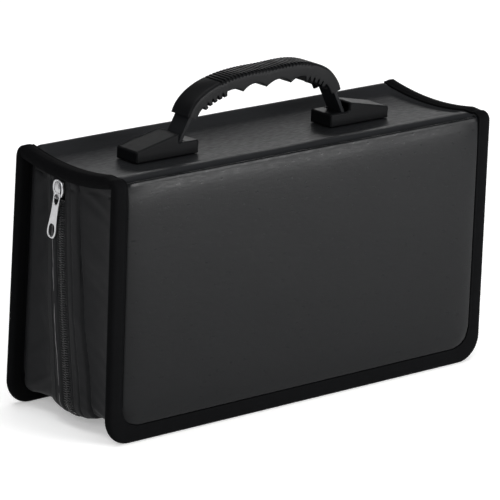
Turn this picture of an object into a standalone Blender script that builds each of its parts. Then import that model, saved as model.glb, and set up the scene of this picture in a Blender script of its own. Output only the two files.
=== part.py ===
# Storage case for discs: two padded covers on a spine, a zipped gusset round three sides,
# a carrying handle on the spine and a block of sleeves hanging inside.
#
# Metres. +X runs along the case, the front cover is at -Y, the rear cover at +Y, +Z is up.
# The case stands on the bound lower edges of its covers, at z = 0.

import math

import bmesh
import bpy
from mathutils import Vector

MM = 0.001

# Gap that neighbouring pieces keep
FIT = 0.3 * MM

# Case
CASE_LENGTH = 320 * MM
CASE_HEIGHT = 168 * MM
CASE_DEPTH = 96 * MM
COVER_LEAN = 3 * MM
CORNER_RADIUS = 17 * MM

# Covers and spine
EDGE_THICKNESS = 5 * MM
PADDING_BULGE = 0.8 * MM
PADDING_ROUND = 2.5 * MM
SPINE_DIP = 5 * MM
HINGE_DEPTH = 3 * MM
HINGE_HALF_GAP = 2.5 * MM
LINING_THICKNESS = 0.6 * MM

# Woven tape bound round the edges
TAPE_WIDTH = 10 * MM
TAPE_THICKNESS = 0.9 * MM

# Gusset: the cloth wall between each cover and the zip
GUSSET_INSET = 6 * MM
GUSSET_THICKNESS = 1.2 * MM
GUSSET_TOP_GAP = 0.5 * MM
GUSSET_TO_ZIP = 6 * MM

# Zip: it slants towards the front as it runs down the left side to the corner
ZIP_HIGH_Y = 10 * MM
ZIP_HIGH_DROP = 18 * MM
ZIP_LOW_Y = -4.2 * MM
ZIP_TOP_GAP = 2 * MM
ZIP_HALF_GAP = 0.8 * MM
ZIP_TAPE_WIDTH = 13 * MM
ZIP_TAPE_THICKNESS = 0.8 * MM
COIL_WIDTH = 2.4 * MM
COIL_THICKNESS = 2.2 * MM

# Slider and its pull
SLIDER_DROP = 17.5 * MM
SLIDER_LENGTH = 13.5 * MM
SLIDER_WIDTH = 9.2 * MM
SLIDER_NARROW = 7.6 * MM
SLIDER_PLATE = 1.0 * MM
SLIDER_POST_WIDTH = 0.9 * MM
SLIDER_POST_LENGTH = 3 * MM
BAIL_WIDTH = 1.8 * MM
BAIL_THICKNESS = 1.0 * MM
BAIL_LENGTH = 11.2 * MM
PULL_THICKNESS = 1.2 * MM
PULL_LENGTH = 28 * MM
PULL_WIDTH = 6.5 * MM
PULL_NECK = 5.6 * MM
PULL_EYE_LENGTH = 4.5 * MM
PULL_EYE_WIDTH = 3.6 * MM
PULL_HOLE_LENGTH = 6.5 * MM
PULL_HOLE_WIDTH = 3.6 * MM
PULL_SWING = math.radians(8.8)

# Handle grip: its top line is a superellipse above the spine
HANDLE_X = -3.5 * MM
GRIP_WIDTH = 18 * MM
GRIP_HALF_SPAN = 66.7 * MM
GRIP_END = 65.4 * MM
GRIP_CROWN = 42.3 * MM
GRIP_ARC_FOOT = 10 * MM
GRIP_ARC_POWER = 2.5
GRIP_THICKNESS = 8.4 * MM
GRIP_END_THICKNESS = 7.8 * MM
GRIP_EDGE = 1.2 * MM
RIB_COUNT = 28
RIB_SPAN = 80 * MM
RIB_DEPTH = 0.9 * MM
FINGER_PITCH = 20.8 * MM
FINGER_DEPTH = 3.6 * MM
TOOTH_COUNT = 5
TOOTH_PITCH = 4.7 * MM
TOOTH_DEPTH = 2 * MM
TOOTH_FIRST = 37 * MM

# Straps from the grip's ends into the bases
STRAP_THICKNESS = 2.8 * MM
STRAP_WIDTH = 14 * MM
STRAP_PIVOT_DEPTH = 4.2 * MM
STRAP_PIVOT_BACK = 1.5 * MM
STRAP_FOOT_X = 72 * MM
STRAP_FOOT_DROP = 0.5 * MM
STRAP_FOOT_RADIUS = 2.25 * MM
STRAP_SIDE_GAP = 0.4 * MM
HANDLE_DROP = 6 * MM

# Handle bases, measured out from the middle of the handle
BASE_INNER = 56.5 * MM
BASE_STEP = 73 * MM
BASE_OUTER = 107.5 * MM
BASE_WIDTH = 19.5 * MM
BASE_LOW = 8.6 * MM
BASE_PEAK = 14.7 * MM
BASE_END = 7.6 * MM
BASE_WALL = 1.4 * MM
BASE_ROUND = 0.8 * MM
BASE_SLOT_LENGTH = 6.2 * MM
BASE_CAVITY_FROM_INNER = 7.5 * MM
BASE_CAVITY_FROM_OUTER = 21.5 * MM

# Screws and backing plates that hold the bases from inside the case
SCREW_FROM_INNER = 4 * MM
SCREW_FROM_OUTER = 13.5 * MM
SCREW_RADIUS = 1.5 * MM
SCREW_HEAD_RADIUS = 2.9 * MM
SCREW_HEAD_HEIGHT = 1.4 * MM
SCREW_BITE = 6 * MM
PLATE_THICKNESS = 1.8 * MM
PLATE_WIDTH = 17 * MM
PLATE_MARGIN = 2.5 * MM

# Sleeves
SLEEVE_SIDE_ROOM = 18 * MM
SLEEVE_FOOT_ROOM = 16.1 * MM
SLEEVE_STACK = 40 * MM
SLEEVE_CORNER = 6 * MM
STRIP_THICKNESS = 1.2 * MM
STRIP_OVERLAP = 2 * MM

# Facets
ARC_STEPS = 6
BOTTOM_STEPS = 8
GUSSET_STEPS = 4
SPINE_STEPS = 12
ROUND_SIDES = 16
SMOOTH_ANGLE = math.radians(35)

FRONT = -1
REAR = 1
LEFT = -1
RIGHT = 1

HINGE_Y = CASE_DEPTH / 2 - HINGE_DEPTH
HINGE_Z = CASE_HEIGHT - HINGE_DEPTH
COVER_TOP = HINGE_Z - HINGE_HALF_GAP
SPINE_HALF = HINGE_Y - HINGE_HALF_GAP
UNDER_TAPE = TAPE_THICKNESS + FIT
ZIP_HIGH_Z = CASE_HEIGHT - ZIP_HIGH_DROP
ZIP_INSET = GUSSET_INSET + GUSSET_THICKNESS + FIT
COIL_INSET = ZIP_INSET - FIT - COIL_THICKNESS
SLIDER_Z = CASE_HEIGHT - SLIDER_DROP
SCREW_PLACES = (BASE_INNER + SCREW_FROM_INNER, BASE_OUTER - SCREW_FROM_OUTER)
CAVITY_INNER = BASE_INNER + BASE_CAVITY_FROM_INNER
CAVITY_OUTER = BASE_OUTER - BASE_CAVITY_FROM_OUTER
BASE_BOTTOM = CASE_HEIGHT - SPINE_DIP * (1 - (BASE_WIDTH / 2 / SPINE_HALF) ** 2) + FIT
PLATE_TOP = CASE_HEIGHT - SPINE_DIP - EDGE_THICKNESS - FIT
STRIP_TOP = PLATE_TOP - PLATE_THICKNESS - FIT


def clear_scene():
    for old in list(bpy.data.objects):
        bpy.data.objects.remove(old, do_unlink=True)


def make_material(name, colour, roughness, metallic=0.0):
    material = bpy.data.materials.new(name)
    material.use_nodes = True
    shader = material.node_tree.nodes["Principled BSDF"]
    shader.inputs["Base Color"].default_value = (*colour, 1.0)
    shader.inputs["Roughness"].default_value = roughness
    shader.inputs["Metallic"].default_value = metallic
    material.diffuse_color = (*colour, 1.0)
    return material


def world_origin(item):
    if item is None:
        return Vector((0, 0, 0))
    return item.location + world_origin(item.parent)


def add_pivot(name, place, parent=None):
    """An empty on a joint's axis, which the pieces of a moving body hang from."""
    pivot = bpy.data.objects.new(name, None)
    pivot.parent = parent
    pivot.location = Vector(place) - world_origin(parent)
    bpy.context.scene.collection.objects.link(pivot)
    return pivot


def close_end(work, loop, in_strips):
    """A cap over a ring: one flat face, or strips between its two halves where it is curved."""
    if not in_strips:
        work.faces.new(loop)
        return
    last = len(loop) - 1
    for k in range(len(loop) // 2 - 1):
        work.faces.new((loop[k], loop[k + 1], loop[last - k - 1], loop[last - k]))


def add_solid(name, rings, material=None, parent=None, curved_ends=False):
    """A closed solid through a row of closed rings of points, capped at both ends."""
    origin = world_origin(parent)
    mesh = bpy.data.meshes.new(name)
    work = bmesh.new()
    loops = [[work.verts.new(Vector(point) - origin) for point in ring] for ring in rings]
    for near, far in zip(loops, loops[1:]):
        for k in range(len(near)):
            after = (k + 1) % len(near)
            work.faces.new((near[k], near[after], far[after], far[k]))
    close_end(work, loops[0], curved_ends)
    close_end(work, loops[-1], curved_ends)
    bmesh.ops.recalc_face_normals(work, faces=work.faces)
    work.to_mesh(mesh)
    work.free()
    mesh.shade_smooth()
    mesh.set_sharp_from_angle(angle=SMOOTH_ANGLE)
    solid = bpy.data.objects.new(name, mesh)
    solid.parent = parent
    bpy.context.scene.collection.objects.link(solid)
    if material:
        mesh.materials.append(material)
    else:
        solid.hide_render = True
        solid.display_type = "WIRE"
    return solid


def combine(target, tool, operation):
    change = target.modifiers.new(tool.name, "BOOLEAN")
    change.operation = operation
    change.object = tool
    change.solver = "EXACT"


def cut(target, tool):
    combine(target, tool, "DIFFERENCE")


def fuse(target, tool):
    combine(target, tool, "UNION")


def round_edges(target, width):
    bevel = target.modifiers.new("rounded_edges", "BEVEL")
    bevel.width = width
    bevel.segments = 2
    bevel.limit_method = "ANGLE"
    bevel.angle_limit = SMOOTH_ANGLE


def side_slab(points, half_width):
    """Two rings of an outline drawn in X and Z, at -Y and +Y."""
    return [[(x, y, z) for x, z in points] for y in (-half_width, half_width)]


def upright_rod(x, stations):
    """Rings of a turned shape standing at x on the middle plane, from (z, radius) pairs."""
    turns = [2 * math.pi * (k + 0.5) / ROUND_SIDES for k in range(ROUND_SIDES)]
    return [[(x + r * math.cos(a), r * math.sin(a), z) for a in turns] for z, r in stations]


# Covers, binding and lining

def lean_at(z):
    """How far a cover stands out at height z: none at its hinge, all of it at its foot."""
    return COVER_LEAN * (HINGE_Z - z) / HINGE_Z


def cover_outline(inset, top=COVER_TOP):
    """A cover's open outline in X and Z, down the left, along the foot and up the right."""
    half = CASE_LENGTH / 2 - inset
    radius = CORNER_RADIUS - inset if inset < CORNER_RADIUS else 0.0
    centre_x = half - radius
    centre_z = inset + radius
    quarter = [math.pi / 2 * k / ARC_STEPS for k in range(ARC_STEPS + 1)]
    left = [(-centre_x - radius * math.cos(a), centre_z - radius * math.sin(a)) for a in quarter]
    right = [(-x, z) for x, z in reversed(left)]
    steps = range(1, BOTTOM_STEPS)
    foot = [(centre_x * (2 * k / BOTTOM_STEPS - 1), inset) for k in steps]
    return [(-half, top)] + left + foot + right + [(half, top)]


def cover_ring(side, inset, depth, top=COVER_TOP):
    """The outline at an inset, at a depth below the cover's outer face."""
    outline = cover_outline(inset, top)
    return [(x, side * (CASE_DEPTH / 2 - depth + lean_at(z)), z) for x, z in outline]


def add_cover(name, side, material, parent):
    field = TAPE_WIDTH + FIT
    crown = field + PADDING_ROUND
    field_top = COVER_TOP - FIT
    rings = [
        cover_ring(side, UNDER_TAPE, EDGE_THICKNESS - UNDER_TAPE),
        cover_ring(side, UNDER_TAPE, UNDER_TAPE),
        cover_ring(side, field, UNDER_TAPE, field_top),
        cover_ring(side, field, 0.0, field_top),
        cover_ring(side, (field + crown) / 2, -0.75 * PADDING_BULGE, field_top - PADDING_ROUND / 4),
        cover_ring(side, crown, -PADDING_BULGE, field_top - PADDING_ROUND),
    ]
    add_solid(name, rings, material, parent)


def tape_profile():
    """The folded tape's section, as inset from the edge and depth from the outer face."""
    w, t, e = TAPE_WIDTH, TAPE_THICKNESS, EDGE_THICKNESS
    soft = t * 0.9
    outside = [(w, 0), (soft, 0), (0, soft), (0, e - soft), (soft, e), (w, e)]
    inside = [(w, e - t), (t, e - t), (t, t), (w, t)]
    return outside + inside


def add_cover_binding(name, side, material, parent):
    lines = [cover_ring(side, inset, depth) for inset, depth in tape_profile()]
    add_solid(name, list(zip(*lines)), material, parent)


def add_lining(name, side, material, parent):
    outer = EDGE_THICKNESS - UNDER_TAPE + FIT
    inset = TAPE_WIDTH + FIT
    top = COVER_TOP - FIT
    rings = [cover_ring(side, inset, depth, top) for depth in (outer, outer + LINING_THICKNESS)]
    add_solid(name, rings, material, parent)


# Spine and its end bindings

def spine_z(y, depth):
    """Height of the dished spine at y, at a depth below its top face."""
    return CASE_HEIGHT - depth - SPINE_DIP * (1 - (y / SPINE_HALF) ** 2)


def spine_stations(half=SPINE_HALF):
    return [half * (2 * k / SPINE_STEPS - 1) for k in range(SPINE_STEPS + 1)]


def spine_ring(x, half, shallow, deep):
    top = [(x, y, spine_z(y, shallow)) for y in spine_stations(half)]
    bottom = [(x, y, spine_z(y, deep)) for y in reversed(spine_stations(half))]
    return top + bottom


def add_spine(material):
    rim = CASE_LENGTH / 2 - UNDER_TAPE
    field = CASE_LENGTH / 2 - TAPE_WIDTH - FIT
    thin = (SPINE_HALF - FIT, UNDER_TAPE, EDGE_THICKNESS - UNDER_TAPE)
    full = (SPINE_HALF, 0.0, EDGE_THICKNESS)
    rings = [
        spine_ring(-rim, *thin),
        spine_ring(-field, *thin),
        spine_ring(-field, *full),
        spine_ring(field, *full),
        spine_ring(field, *thin),
        spine_ring(rim, *thin),
    ]
    return add_solid("spine_panel", rings, material)


def add_spine_binding(name, side, material):
    half = CASE_LENGTH / 2
    rings = [
        [(side * (half - inset), y, spine_z(y, depth)) for inset, depth in tape_profile()]
        for y in spine_stations()
    ]
    add_solid(name, rings, material)


# Gusset and zip

def zip_y(x, z):
    """Where the zip's middle lies: slanting down the left side, then easing to the middle."""
    share = (max(z, CORNER_RADIUS) - CORNER_RADIUS) / (ZIP_HIGH_Z - CORNER_RADIUS)
    on_left = ZIP_LOW_Y + (ZIP_HIGH_Y - ZIP_LOW_Y) * share
    corner = CASE_LENGTH / 2 - CORNER_RADIUS
    reach = min(max(-x / corner, 0.0), 1.0)
    return on_left * reach * reach * (3 - 2 * reach)


def gusset_cover_y(side, z):
    return side * (CASE_DEPTH / 2 - EDGE_THICKNESS - FIT + lean_at(z))


def gusset_line(side, inset, share):
    """A line along the gusset, at a share of the way from its cover to its zip edge."""
    points = []
    outline = cover_outline(inset)
    for k, (x, z) in enumerate(outline):
        is_end = k in (0, len(outline) - 1)
        for _ in range(3 if is_end else 1):
            near = gusset_cover_y(side, z)
            far = zip_y(x, z) + side * GUSSET_TO_ZIP
            y = near + (far - near) * share
            if is_end:
                z = spine_z(min(abs(y), SPINE_HALF), EDGE_THICKNESS) - GUSSET_TOP_GAP
        points.append((x, y, z))
    return points


def add_gusset(name, side, material, parent):
    shares = [k / GUSSET_STEPS for k in range(GUSSET_STEPS + 1)]
    outer = [gusset_line(side, GUSSET_INSET, share) for share in shares]
    inner = [gusset_line(side, GUSSET_INSET + GUSSET_THICKNESS, share) for share in shares]
    lines = outer + inner[::-1]
    add_solid(name, list(zip(*lines)), material, parent, curved_ends=True)


def zip_line(inset, offset, left_top, right_top):
    """A line along the zip, at an offset in Y from its middle."""
    outline = cover_outline(inset)
    outline[0] = (outline[0][0], left_top)
    outline[-1] = (outline[-1][0], right_top)
    return [(x, zip_y(x, z) + offset, z) for x, z in outline]


def zip_strip(side, section, left_top, right_top):
    """Rings of a strip along the zip; its section lists inset and distance from the middle."""
    lines = [zip_line(inset, side * away, left_top, right_top) for inset, away in section]
    return list(zip(*lines))


def zip_tape_section():
    near = ZIP_HALF_GAP
    far = near + ZIP_TAPE_WIDTH
    top = ZIP_INSET
    under = ZIP_INSET + ZIP_TAPE_THICKNESS
    return [(top, near), (top, far), (under, far), (under, near)]


def coil_section():
    near = ZIP_HALF_GAP
    far = near + COIL_WIDTH
    bevel = COIL_WIDTH / 4
    top = COIL_INSET
    under = COIL_INSET + COIL_THICKNESS
    crown = [(top + bevel, near), (top, near + bevel), (top, far - bevel), (top + bevel, far)]
    return crown + [(under, far), (under, near)]


def slider_foot():
    """Height just below the slider, where the meshed coils begin."""
    return SLIDER_Z - SLIDER_LENGTH / 2 - 2 * FIT


def add_zip_half(prefix, side, materials, parent):
    top = spine_z(ZIP_HIGH_Y, EDGE_THICKNESS) - ZIP_TOP_GAP
    tape_left = top if side == REAR else slider_foot()
    tape = zip_strip(side, zip_tape_section(), tape_left, top)
    coil = zip_strip(side, coil_section(), slider_foot(), top)
    add_solid(prefix + "_zip_tape", tape, materials["zip_tape"], parent)
    add_solid(prefix + "_zip_coil", coil, materials["zip_coil"], parent)


# Slider and pull, in the slider's own frame: inset from the case's side, across, and down the zip

def zip_direction():
    down = Vector((0, ZIP_LOW_Y - ZIP_HIGH_Y, CORNER_RADIUS - ZIP_HIGH_Z))
    return down.normalized()


def slider_frame():
    down = zip_direction()
    across = Vector((0, -down.z, down.y))
    middle = Vector((0, zip_y(-CASE_LENGTH / 2, SLIDER_Z), SLIDER_Z))
    return middle, across, down


def slider_point(inset, across_by, down_by):
    middle, across, down = slider_frame()
    point = middle + across * across_by + down * down_by
    point.x = -CASE_LENGTH / 2 + inset
    return point


def slider_slab(outline, shallow, deep):
    """Rings of a plate from an outline of (across, down) pairs, between two insets."""
    return [[slider_point(inset, a, d) for a, d in outline] for inset in (shallow, deep)]


def plate_outline():
    wide, slim, half = SLIDER_WIDTH / 2, SLIDER_NARROW / 2, SLIDER_LENGTH / 2
    shoulder = half / 3
    right = [(slim * 0.6, -half), (wide, -half * 0.7), (wide, shoulder), (slim, half)]
    return right + [(-a, d) for a, d in reversed(right)]


def box_outline(left, right, up, down):
    return [(left, up), (right, up), (right, down), (left, down)]


def bail_profile():
    """The bail's arch, as inset and distance down the zip."""
    face = face_inset()
    half = BAIL_LENGTH / 2
    thick = BAIL_THICKNESS
    ceiling = pull_inset() - PULL_THICKNESS / 2 - FIT
    sunk = face + SLIDER_PLATE / 2
    arch = [(sunk, half), (ceiling, half - 0.3 * thick), (ceiling - thick, half - 1.6 * thick)]
    inner = [(ceiling, half - 2.1 * thick), (ceiling + 0.4 * thick, half - 1.4 * thick)]
    inner.append((sunk, half - thick))
    outside = [(i, -d) for i, d in arch] + [(i, d) for i, d in reversed(arch)]
    inside = [(i, d) for i, d in reversed(inner)] + [(i, -d) for i, d in inner]
    return outside + inside


def face_inset():
    """Inset of the slider's outer face, which clears the coils by its plate and a gap."""
    return COIL_INSET - FIT - SLIDER_PLATE


def pull_inset():
    """Inset of the pull's middle plane, where its bar turns under the bail."""
    turning = math.hypot(PULL_THICKNESS, PULL_THICKNESS) / 2
    return face_inset() - turning - FIT / 6


def pull_place():
    """The pull's hinge point, near the lower leg of the bail."""
    leg = BAIL_LENGTH / 2 - 1.4 * BAIL_THICKNESS
    turning = math.hypot(PULL_THICKNESS, PULL_THICKNESS) / 2
    return slider_point(pull_inset(), 0, leg - turning - FIT / 2)


def add_slider(material, parent):
    face = face_inset()
    back = ZIP_INSET + ZIP_TAPE_THICKNESS + FIT
    half = SLIDER_LENGTH / 2
    plate = slider_slab(plate_outline(), face, face + SLIDER_PLATE)
    slider = add_solid("zip_slider", plate, material, parent)
    overlap = SLIDER_PLATE / 2
    inner = slider_slab(plate_outline(), back, back + SLIDER_PLATE)
    post = box_outline(-SLIDER_POST_WIDTH / 2, SLIDER_POST_WIDTH / 2,
                       -half + overlap, -half + overlap + SLIDER_POST_LENGTH)
    fuse(slider, add_solid("slider_back_tool", inner, parent=parent))
    post_rings = slider_slab(post, face + overlap, back + overlap)
    fuse(slider, add_solid("slider_post_tool", post_rings, parent=parent))
    lip = ZIP_HALF_GAP + COIL_WIDTH + FIT
    for sign, word in ((-1, "front"), (1, "rear")):
        flange = box_outline(sign * lip, sign * (SLIDER_WIDTH / 2 - FIT), -half * 0.6, half * 0.3)
        rings = slider_slab(flange, face + overlap, ZIP_INSET - 2 * FIT)
        fuse(slider, add_solid("slider_" + word + "_lip_tool", rings, parent=parent))
    arch = [[slider_point(i, a, d) for i, d in bail_profile()]
            for a in (-BAIL_WIDTH / 2, BAIL_WIDTH / 2)]
    fuse(slider, add_solid("slider_bail_tool", arch, parent=parent))


def pull_point(thickness_by, across_by, along):
    """A point of the hanging pull: through it, across it and down from its hinge."""
    place = pull_place()
    down = Vector((0, math.sin(PULL_SWING), -math.cos(PULL_SWING)))
    across = Vector((0, math.cos(PULL_SWING), math.sin(PULL_SWING)))
    return place + across * across_by + down * along + Vector((thickness_by, 0, 0))


def pull_slab(outline, half):
    return [[pull_point(t, a, d) for a, d in outline] for t in (-half, half)]


def round_end(half_width, middle, steps=8):
    turns = [math.pi * k / steps for k in range(steps + 1)]
    return [(half_width * math.cos(a), middle + half_width * math.sin(a)) for a in turns]


def add_pull(material, parent):
    bar = PULL_THICKNESS / 2
    neck, wide = PULL_NECK / 2, PULL_WIDTH / 2
    end = PULL_LENGTH - bar - wide
    body = [(-neck, -bar), (neck, -bar), (neck * 0.8, PULL_LENGTH * 0.4)]
    body += round_end(wide, end) + [(-neck * 0.8, PULL_LENGTH * 0.4)]
    pull = add_solid("zip_pull", pull_slab(body, bar), material, parent)
    eye_half = PULL_EYE_WIDTH / 2
    eye_end = bar + PULL_EYE_LENGTH
    eye = [(-eye_half, bar), (eye_half, bar), (eye_half * 0.8, eye_end * 0.7), (eye_half * 0.2, eye_end),
           (-eye_half * 0.2, eye_end), (-eye_half * 0.8, eye_end * 0.7)]
    cut(pull, add_solid("pull_eye_tool", pull_slab(eye, PULL_THICKNESS), parent=parent))
    hole_half = PULL_HOLE_WIDTH / 2
    straight = PULL_HOLE_LENGTH - PULL_HOLE_WIDTH
    hole = round_end(hole_half, end) + [(a, d) for a, d in
                                        round_end(-hole_half, end - straight)]
    cut(pull, add_solid("pull_hole_tool", pull_slab(hole, PULL_THICKNESS), parent=parent))


# Handle grip

def grip_top(x):
    """Height of the grip's top line above the case, at x from the handle's middle."""
    reach = abs(x) / GRIP_HALF_SPAN
    rise = GRIP_CROWN - GRIP_ARC_FOOT
    return GRIP_ARC_FOOT + rise * (1 - reach ** GRIP_ARC_POWER) ** (1 / GRIP_ARC_POWER)


def grip_frame(x):
    """The grip's top point at x and the unit direction from it into the grip."""
    step = 0.05 * MM
    slope = (grip_top(x + step) - grip_top(x - step)) / (2 * step)
    inward = Vector((slope, -1.0)).normalized()
    return Vector((x, CASE_HEIGHT + grip_top(x))), inward


def grip_depth(x):
    """The grip's thickness at x, with its finger hollows and the teeth beside them."""
    away = abs(x)
    taper = GRIP_THICKNESS + (GRIP_END_THICKNESS - GRIP_THICKNESS) * away / GRIP_END
    if away < 1.5 * FINGER_PITCH:
        place = (away / FINGER_PITCH) % 1.0
        return taper + FINGER_DEPTH * (2 * place - 1) ** 2
    tooth = (away - TOOTH_FIRST) / TOOTH_PITCH
    nearest = round(tooth)
    is_tooth = 0 <= nearest < TOOTH_COUNT and abs(tooth - nearest) < 0.3
    return taper + (TOOTH_DEPTH if is_tooth else 0.0)


def rib_dip(x):
    """Depth of the grooves between the ribs on top of the grip at x."""
    if abs(x) > RIB_SPAN / 2:
        return 0.0
    phase = (x + RIB_SPAN / 2) / RIB_SPAN * RIB_COUNT % 1.0
    return RIB_DEPTH if 0.35 < phase < 0.65 else 0.0


def grip_stations():
    """Places along the grip: both flanks of each rib, the finger hollows and each tooth."""
    places = [0.0, GRIP_END, (GRIP_END + RIB_SPAN / 2) / 2]
    pitch = RIB_SPAN / RIB_COUNT
    for k in range(RIB_COUNT // 2):
        places += [(k + share) * pitch for share in (0.2, 0.4, 0.6, 0.8)]
    for k in range(TOOTH_COUNT):
        tooth = TOOTH_FIRST + k * TOOTH_PITCH
        places += [tooth + share * TOOTH_PITCH for share in (-0.34, -0.22, 0.22, 0.34)]
    places = sorted(place for place in places if place <= GRIP_END)
    return [-place for place in reversed(places[1:])] + places


def grip_ring(x):
    top, inward = grip_frame(x)
    half, edge = GRIP_WIDTH / 2, GRIP_EDGE
    dip, depth = rib_dip(x), grip_depth(x)
    section = [(-half, edge + dip), (-half + edge, dip), (half - edge, dip), (half, edge + dip),
               (half, depth - edge), (half - edge, depth), (-half + edge, depth), (-half, depth - edge)]
    ring = []
    for y, down in section:
        point = top + inward * down
        ring.append((HANDLE_X + point.x, y, point.y))
    return ring


def strap_pivot(side):
    """Where a strap bends at the grip's end."""
    top, inward = grip_frame(GRIP_END)
    back = Vector((inward.y, -inward.x))
    point = top + inward * STRAP_PIVOT_DEPTH + back * STRAP_PIVOT_BACK
    return Vector((HANDLE_X + side * point.x, 0, point.y))


def strap_foot(side):
    return Vector((HANDLE_X + side * STRAP_FOOT_X, 0, CASE_HEIGHT - STRAP_FOOT_DROP))


def strap_dropped_direction(side):
    """The strap's direction once the grip has dropped and its foot has slid outwards."""
    pivot, foot = strap_pivot(side), strap_foot(side)
    length = (foot - pivot).length
    rise = pivot.z - foot.z - HANDLE_DROP
    return Vector((side * math.sqrt(length ** 2 - rise ** 2) / length, 0, -rise / length))


def add_grip(material, parent):
    rings = [grip_ring(x) for x in grip_stations()]
    grip = add_solid("handle_grip", rings, material, parent)
    for side, word in ((LEFT, "left"), (RIGHT, "right")):
        pivot = strap_pivot(side)
        upright = (strap_foot(side) - pivot).normalized()
        flat = strap_dropped_direction(side)
        inner = Vector((-side * -upright.z, 0, -abs(upright.x)))
        outer = Vector((side * -flat.z, 0, abs(flat.x)))
        half = STRAP_THICKNESS / 2 + STRAP_SIDE_GAP
        reach = GRIP_END_THICKNESS
        back = -(upright + flat).normalized() * half
        corners = [pivot + inner * half, pivot + inner * half + upright * reach,
                   pivot + outer * half + flat * reach, pivot + outer * half,
                   pivot + back + outer * half / 2, pivot + back + inner * half / 2]
        slab = side_slab([(p.x, p.z) for p in corners], STRAP_WIDTH / 2 + STRAP_SIDE_GAP)
        cut(grip, add_solid("grip_" + word + "_socket_tool", slab, parent=parent))


def add_strap(word, side, material, parent):
    pivot, foot = strap_pivot(side), strap_foot(side)
    along = (foot - pivot).normalized()
    across = Vector((-along.z, 0, along.x))
    half = STRAP_THICKNESS / 2
    corners = [pivot + across * half, foot + across * half, foot - across * half, pivot - across * half,
               pivot - across * half * 0.5 - along * half, pivot + across * half * 0.5 - along * half]
    slab = side_slab([(p.x, p.z) for p in corners], STRAP_WIDTH / 2)
    strap = add_solid(word + "_strap", slab, material, parent)
    bar_half = BASE_WIDTH / 2 - BASE_WALL - STRAP_SIDE_GAP
    turns = [2 * math.pi * k / ROUND_SIDES for k in range(ROUND_SIDES)]
    circle = [(foot.x + STRAP_FOOT_RADIUS * math.cos(a), foot.z + STRAP_FOOT_RADIUS * math.sin(a))
              for a in turns]
    bar = add_solid(word + "_strap_foot_tool", side_slab(circle, bar_half), parent=parent)
    fuse(strap, bar)


# Handle bases, backing plates and screws

def ramp_height(x):
    """Height of a base's sloping top at x from the handle's middle."""
    share = (x - BASE_STEP) / (BASE_OUTER - BASE_STEP)
    return BASE_PEAK + (BASE_END - BASE_PEAK) * share


def base_slab(side, points, half_width):
    """Rings of a slab from (distance from the handle's middle, height) pairs."""
    placed = [(HANDLE_X + side * x, BASE_BOTTOM + z) for x, z in points]
    return side_slab(placed, half_width)


def add_base(word, side, material):
    soft = BASE_ROUND
    outline = [(BASE_INNER, 0), (BASE_INNER, BASE_LOW), (BASE_STEP - soft, BASE_LOW),
               (BASE_STEP, BASE_LOW + soft), (BASE_STEP + soft / 2, BASE_PEAK),
               (BASE_OUTER, BASE_END), (BASE_OUTER, 0)]
    base = add_solid(word + "_handle_base", base_slab(side, outline, BASE_WIDTH / 2), material)
    round_edges(base, BASE_ROUND)
    below = -BASE_WALL
    step = BASE_STEP + BASE_WALL
    cavity = [(CAVITY_INNER, below), (CAVITY_INNER, BASE_LOW - BASE_WALL),
              (step, BASE_LOW - BASE_WALL), (step, ramp_height(step) - BASE_WALL),
              (CAVITY_OUTER, ramp_height(CAVITY_OUTER) - BASE_WALL), (CAVITY_OUTER, below)]
    rings = base_slab(side, cavity, BASE_WIDTH / 2 - BASE_WALL)
    cut(base, add_solid(word + "_base_cavity_tool", rings))
    slot_inner = BASE_STEP - BASE_SLOT_LENGTH
    slot_top = ramp_height(step) - BASE_WALL
    slot = box_outline(slot_inner, step + soft, BASE_LOW / 2, slot_top)
    rings = base_slab(side, slot, STRAP_WIDTH / 2 + FIT)
    cut(base, add_solid(word + "_base_slot_tool", rings))
    for k, x in enumerate(screw_places(side), 1):
        hole = [(BASE_BOTTOM - BASE_WALL, SCREW_RADIUS + FIT), (screw_tip() + FIT, SCREW_RADIUS + FIT)]
        cut(base, add_solid(f"{word}_base_hole_{k}_tool", upright_rod(x, hole)))


def screw_places(side):
    return [HANDLE_X + side * place for place in SCREW_PLACES]


def screw_tip():
    return BASE_BOTTOM + SCREW_BITE


def add_backing_plate(word, side, material):
    near = HANDLE_X + side * (BASE_INNER + PLATE_MARGIN / 2)
    far = HANDLE_X + side * (BASE_OUTER - PLATE_MARGIN)
    bottom = PLATE_TOP - PLATE_THICKNESS
    outline = [(near, PLATE_TOP), (far, PLATE_TOP), (far, bottom), (near, bottom)]
    plate = add_solid(word + "_backing_plate", side_slab(outline, PLATE_WIDTH / 2), material)
    for k, x in enumerate(screw_places(side), 1):
        stations = [(bottom - FIT, SCREW_HEAD_RADIUS + 2 * FIT),
                    (bottom + SCREW_HEAD_HEIGHT, SCREW_RADIUS + FIT),
                    (PLATE_TOP + FIT, SCREW_RADIUS + FIT)]
        cut(plate, add_solid(f"{word}_plate_hole_{k}_tool", upright_rod(x, stations)))


def add_screws(word, side, material):
    bottom = PLATE_TOP - PLATE_THICKNESS
    for k, x in enumerate(screw_places(side), 1):
        stations = [(bottom, SCREW_HEAD_RADIUS), (bottom + SCREW_HEAD_HEIGHT, SCREW_RADIUS),
                    (screw_tip() - SCREW_RADIUS, SCREW_RADIUS), (screw_tip(), SCREW_RADIUS / 2)]
        add_solid(f"{word}_base_screw_{k}", upright_rod(x, stations), material)


def drill_spine(spine):
    for side, word in ((LEFT, "left"), (RIGHT, "right")):
        for k, x in enumerate(screw_places(side), 1):
            stations = [(PLATE_TOP, SCREW_RADIUS + FIT), (CASE_HEIGHT, SCREW_RADIUS + FIT)]
            cut(spine, add_solid(f"{word}_spine_hole_{k}_tool", upright_rod(x, stations)))


# Sleeves

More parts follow.
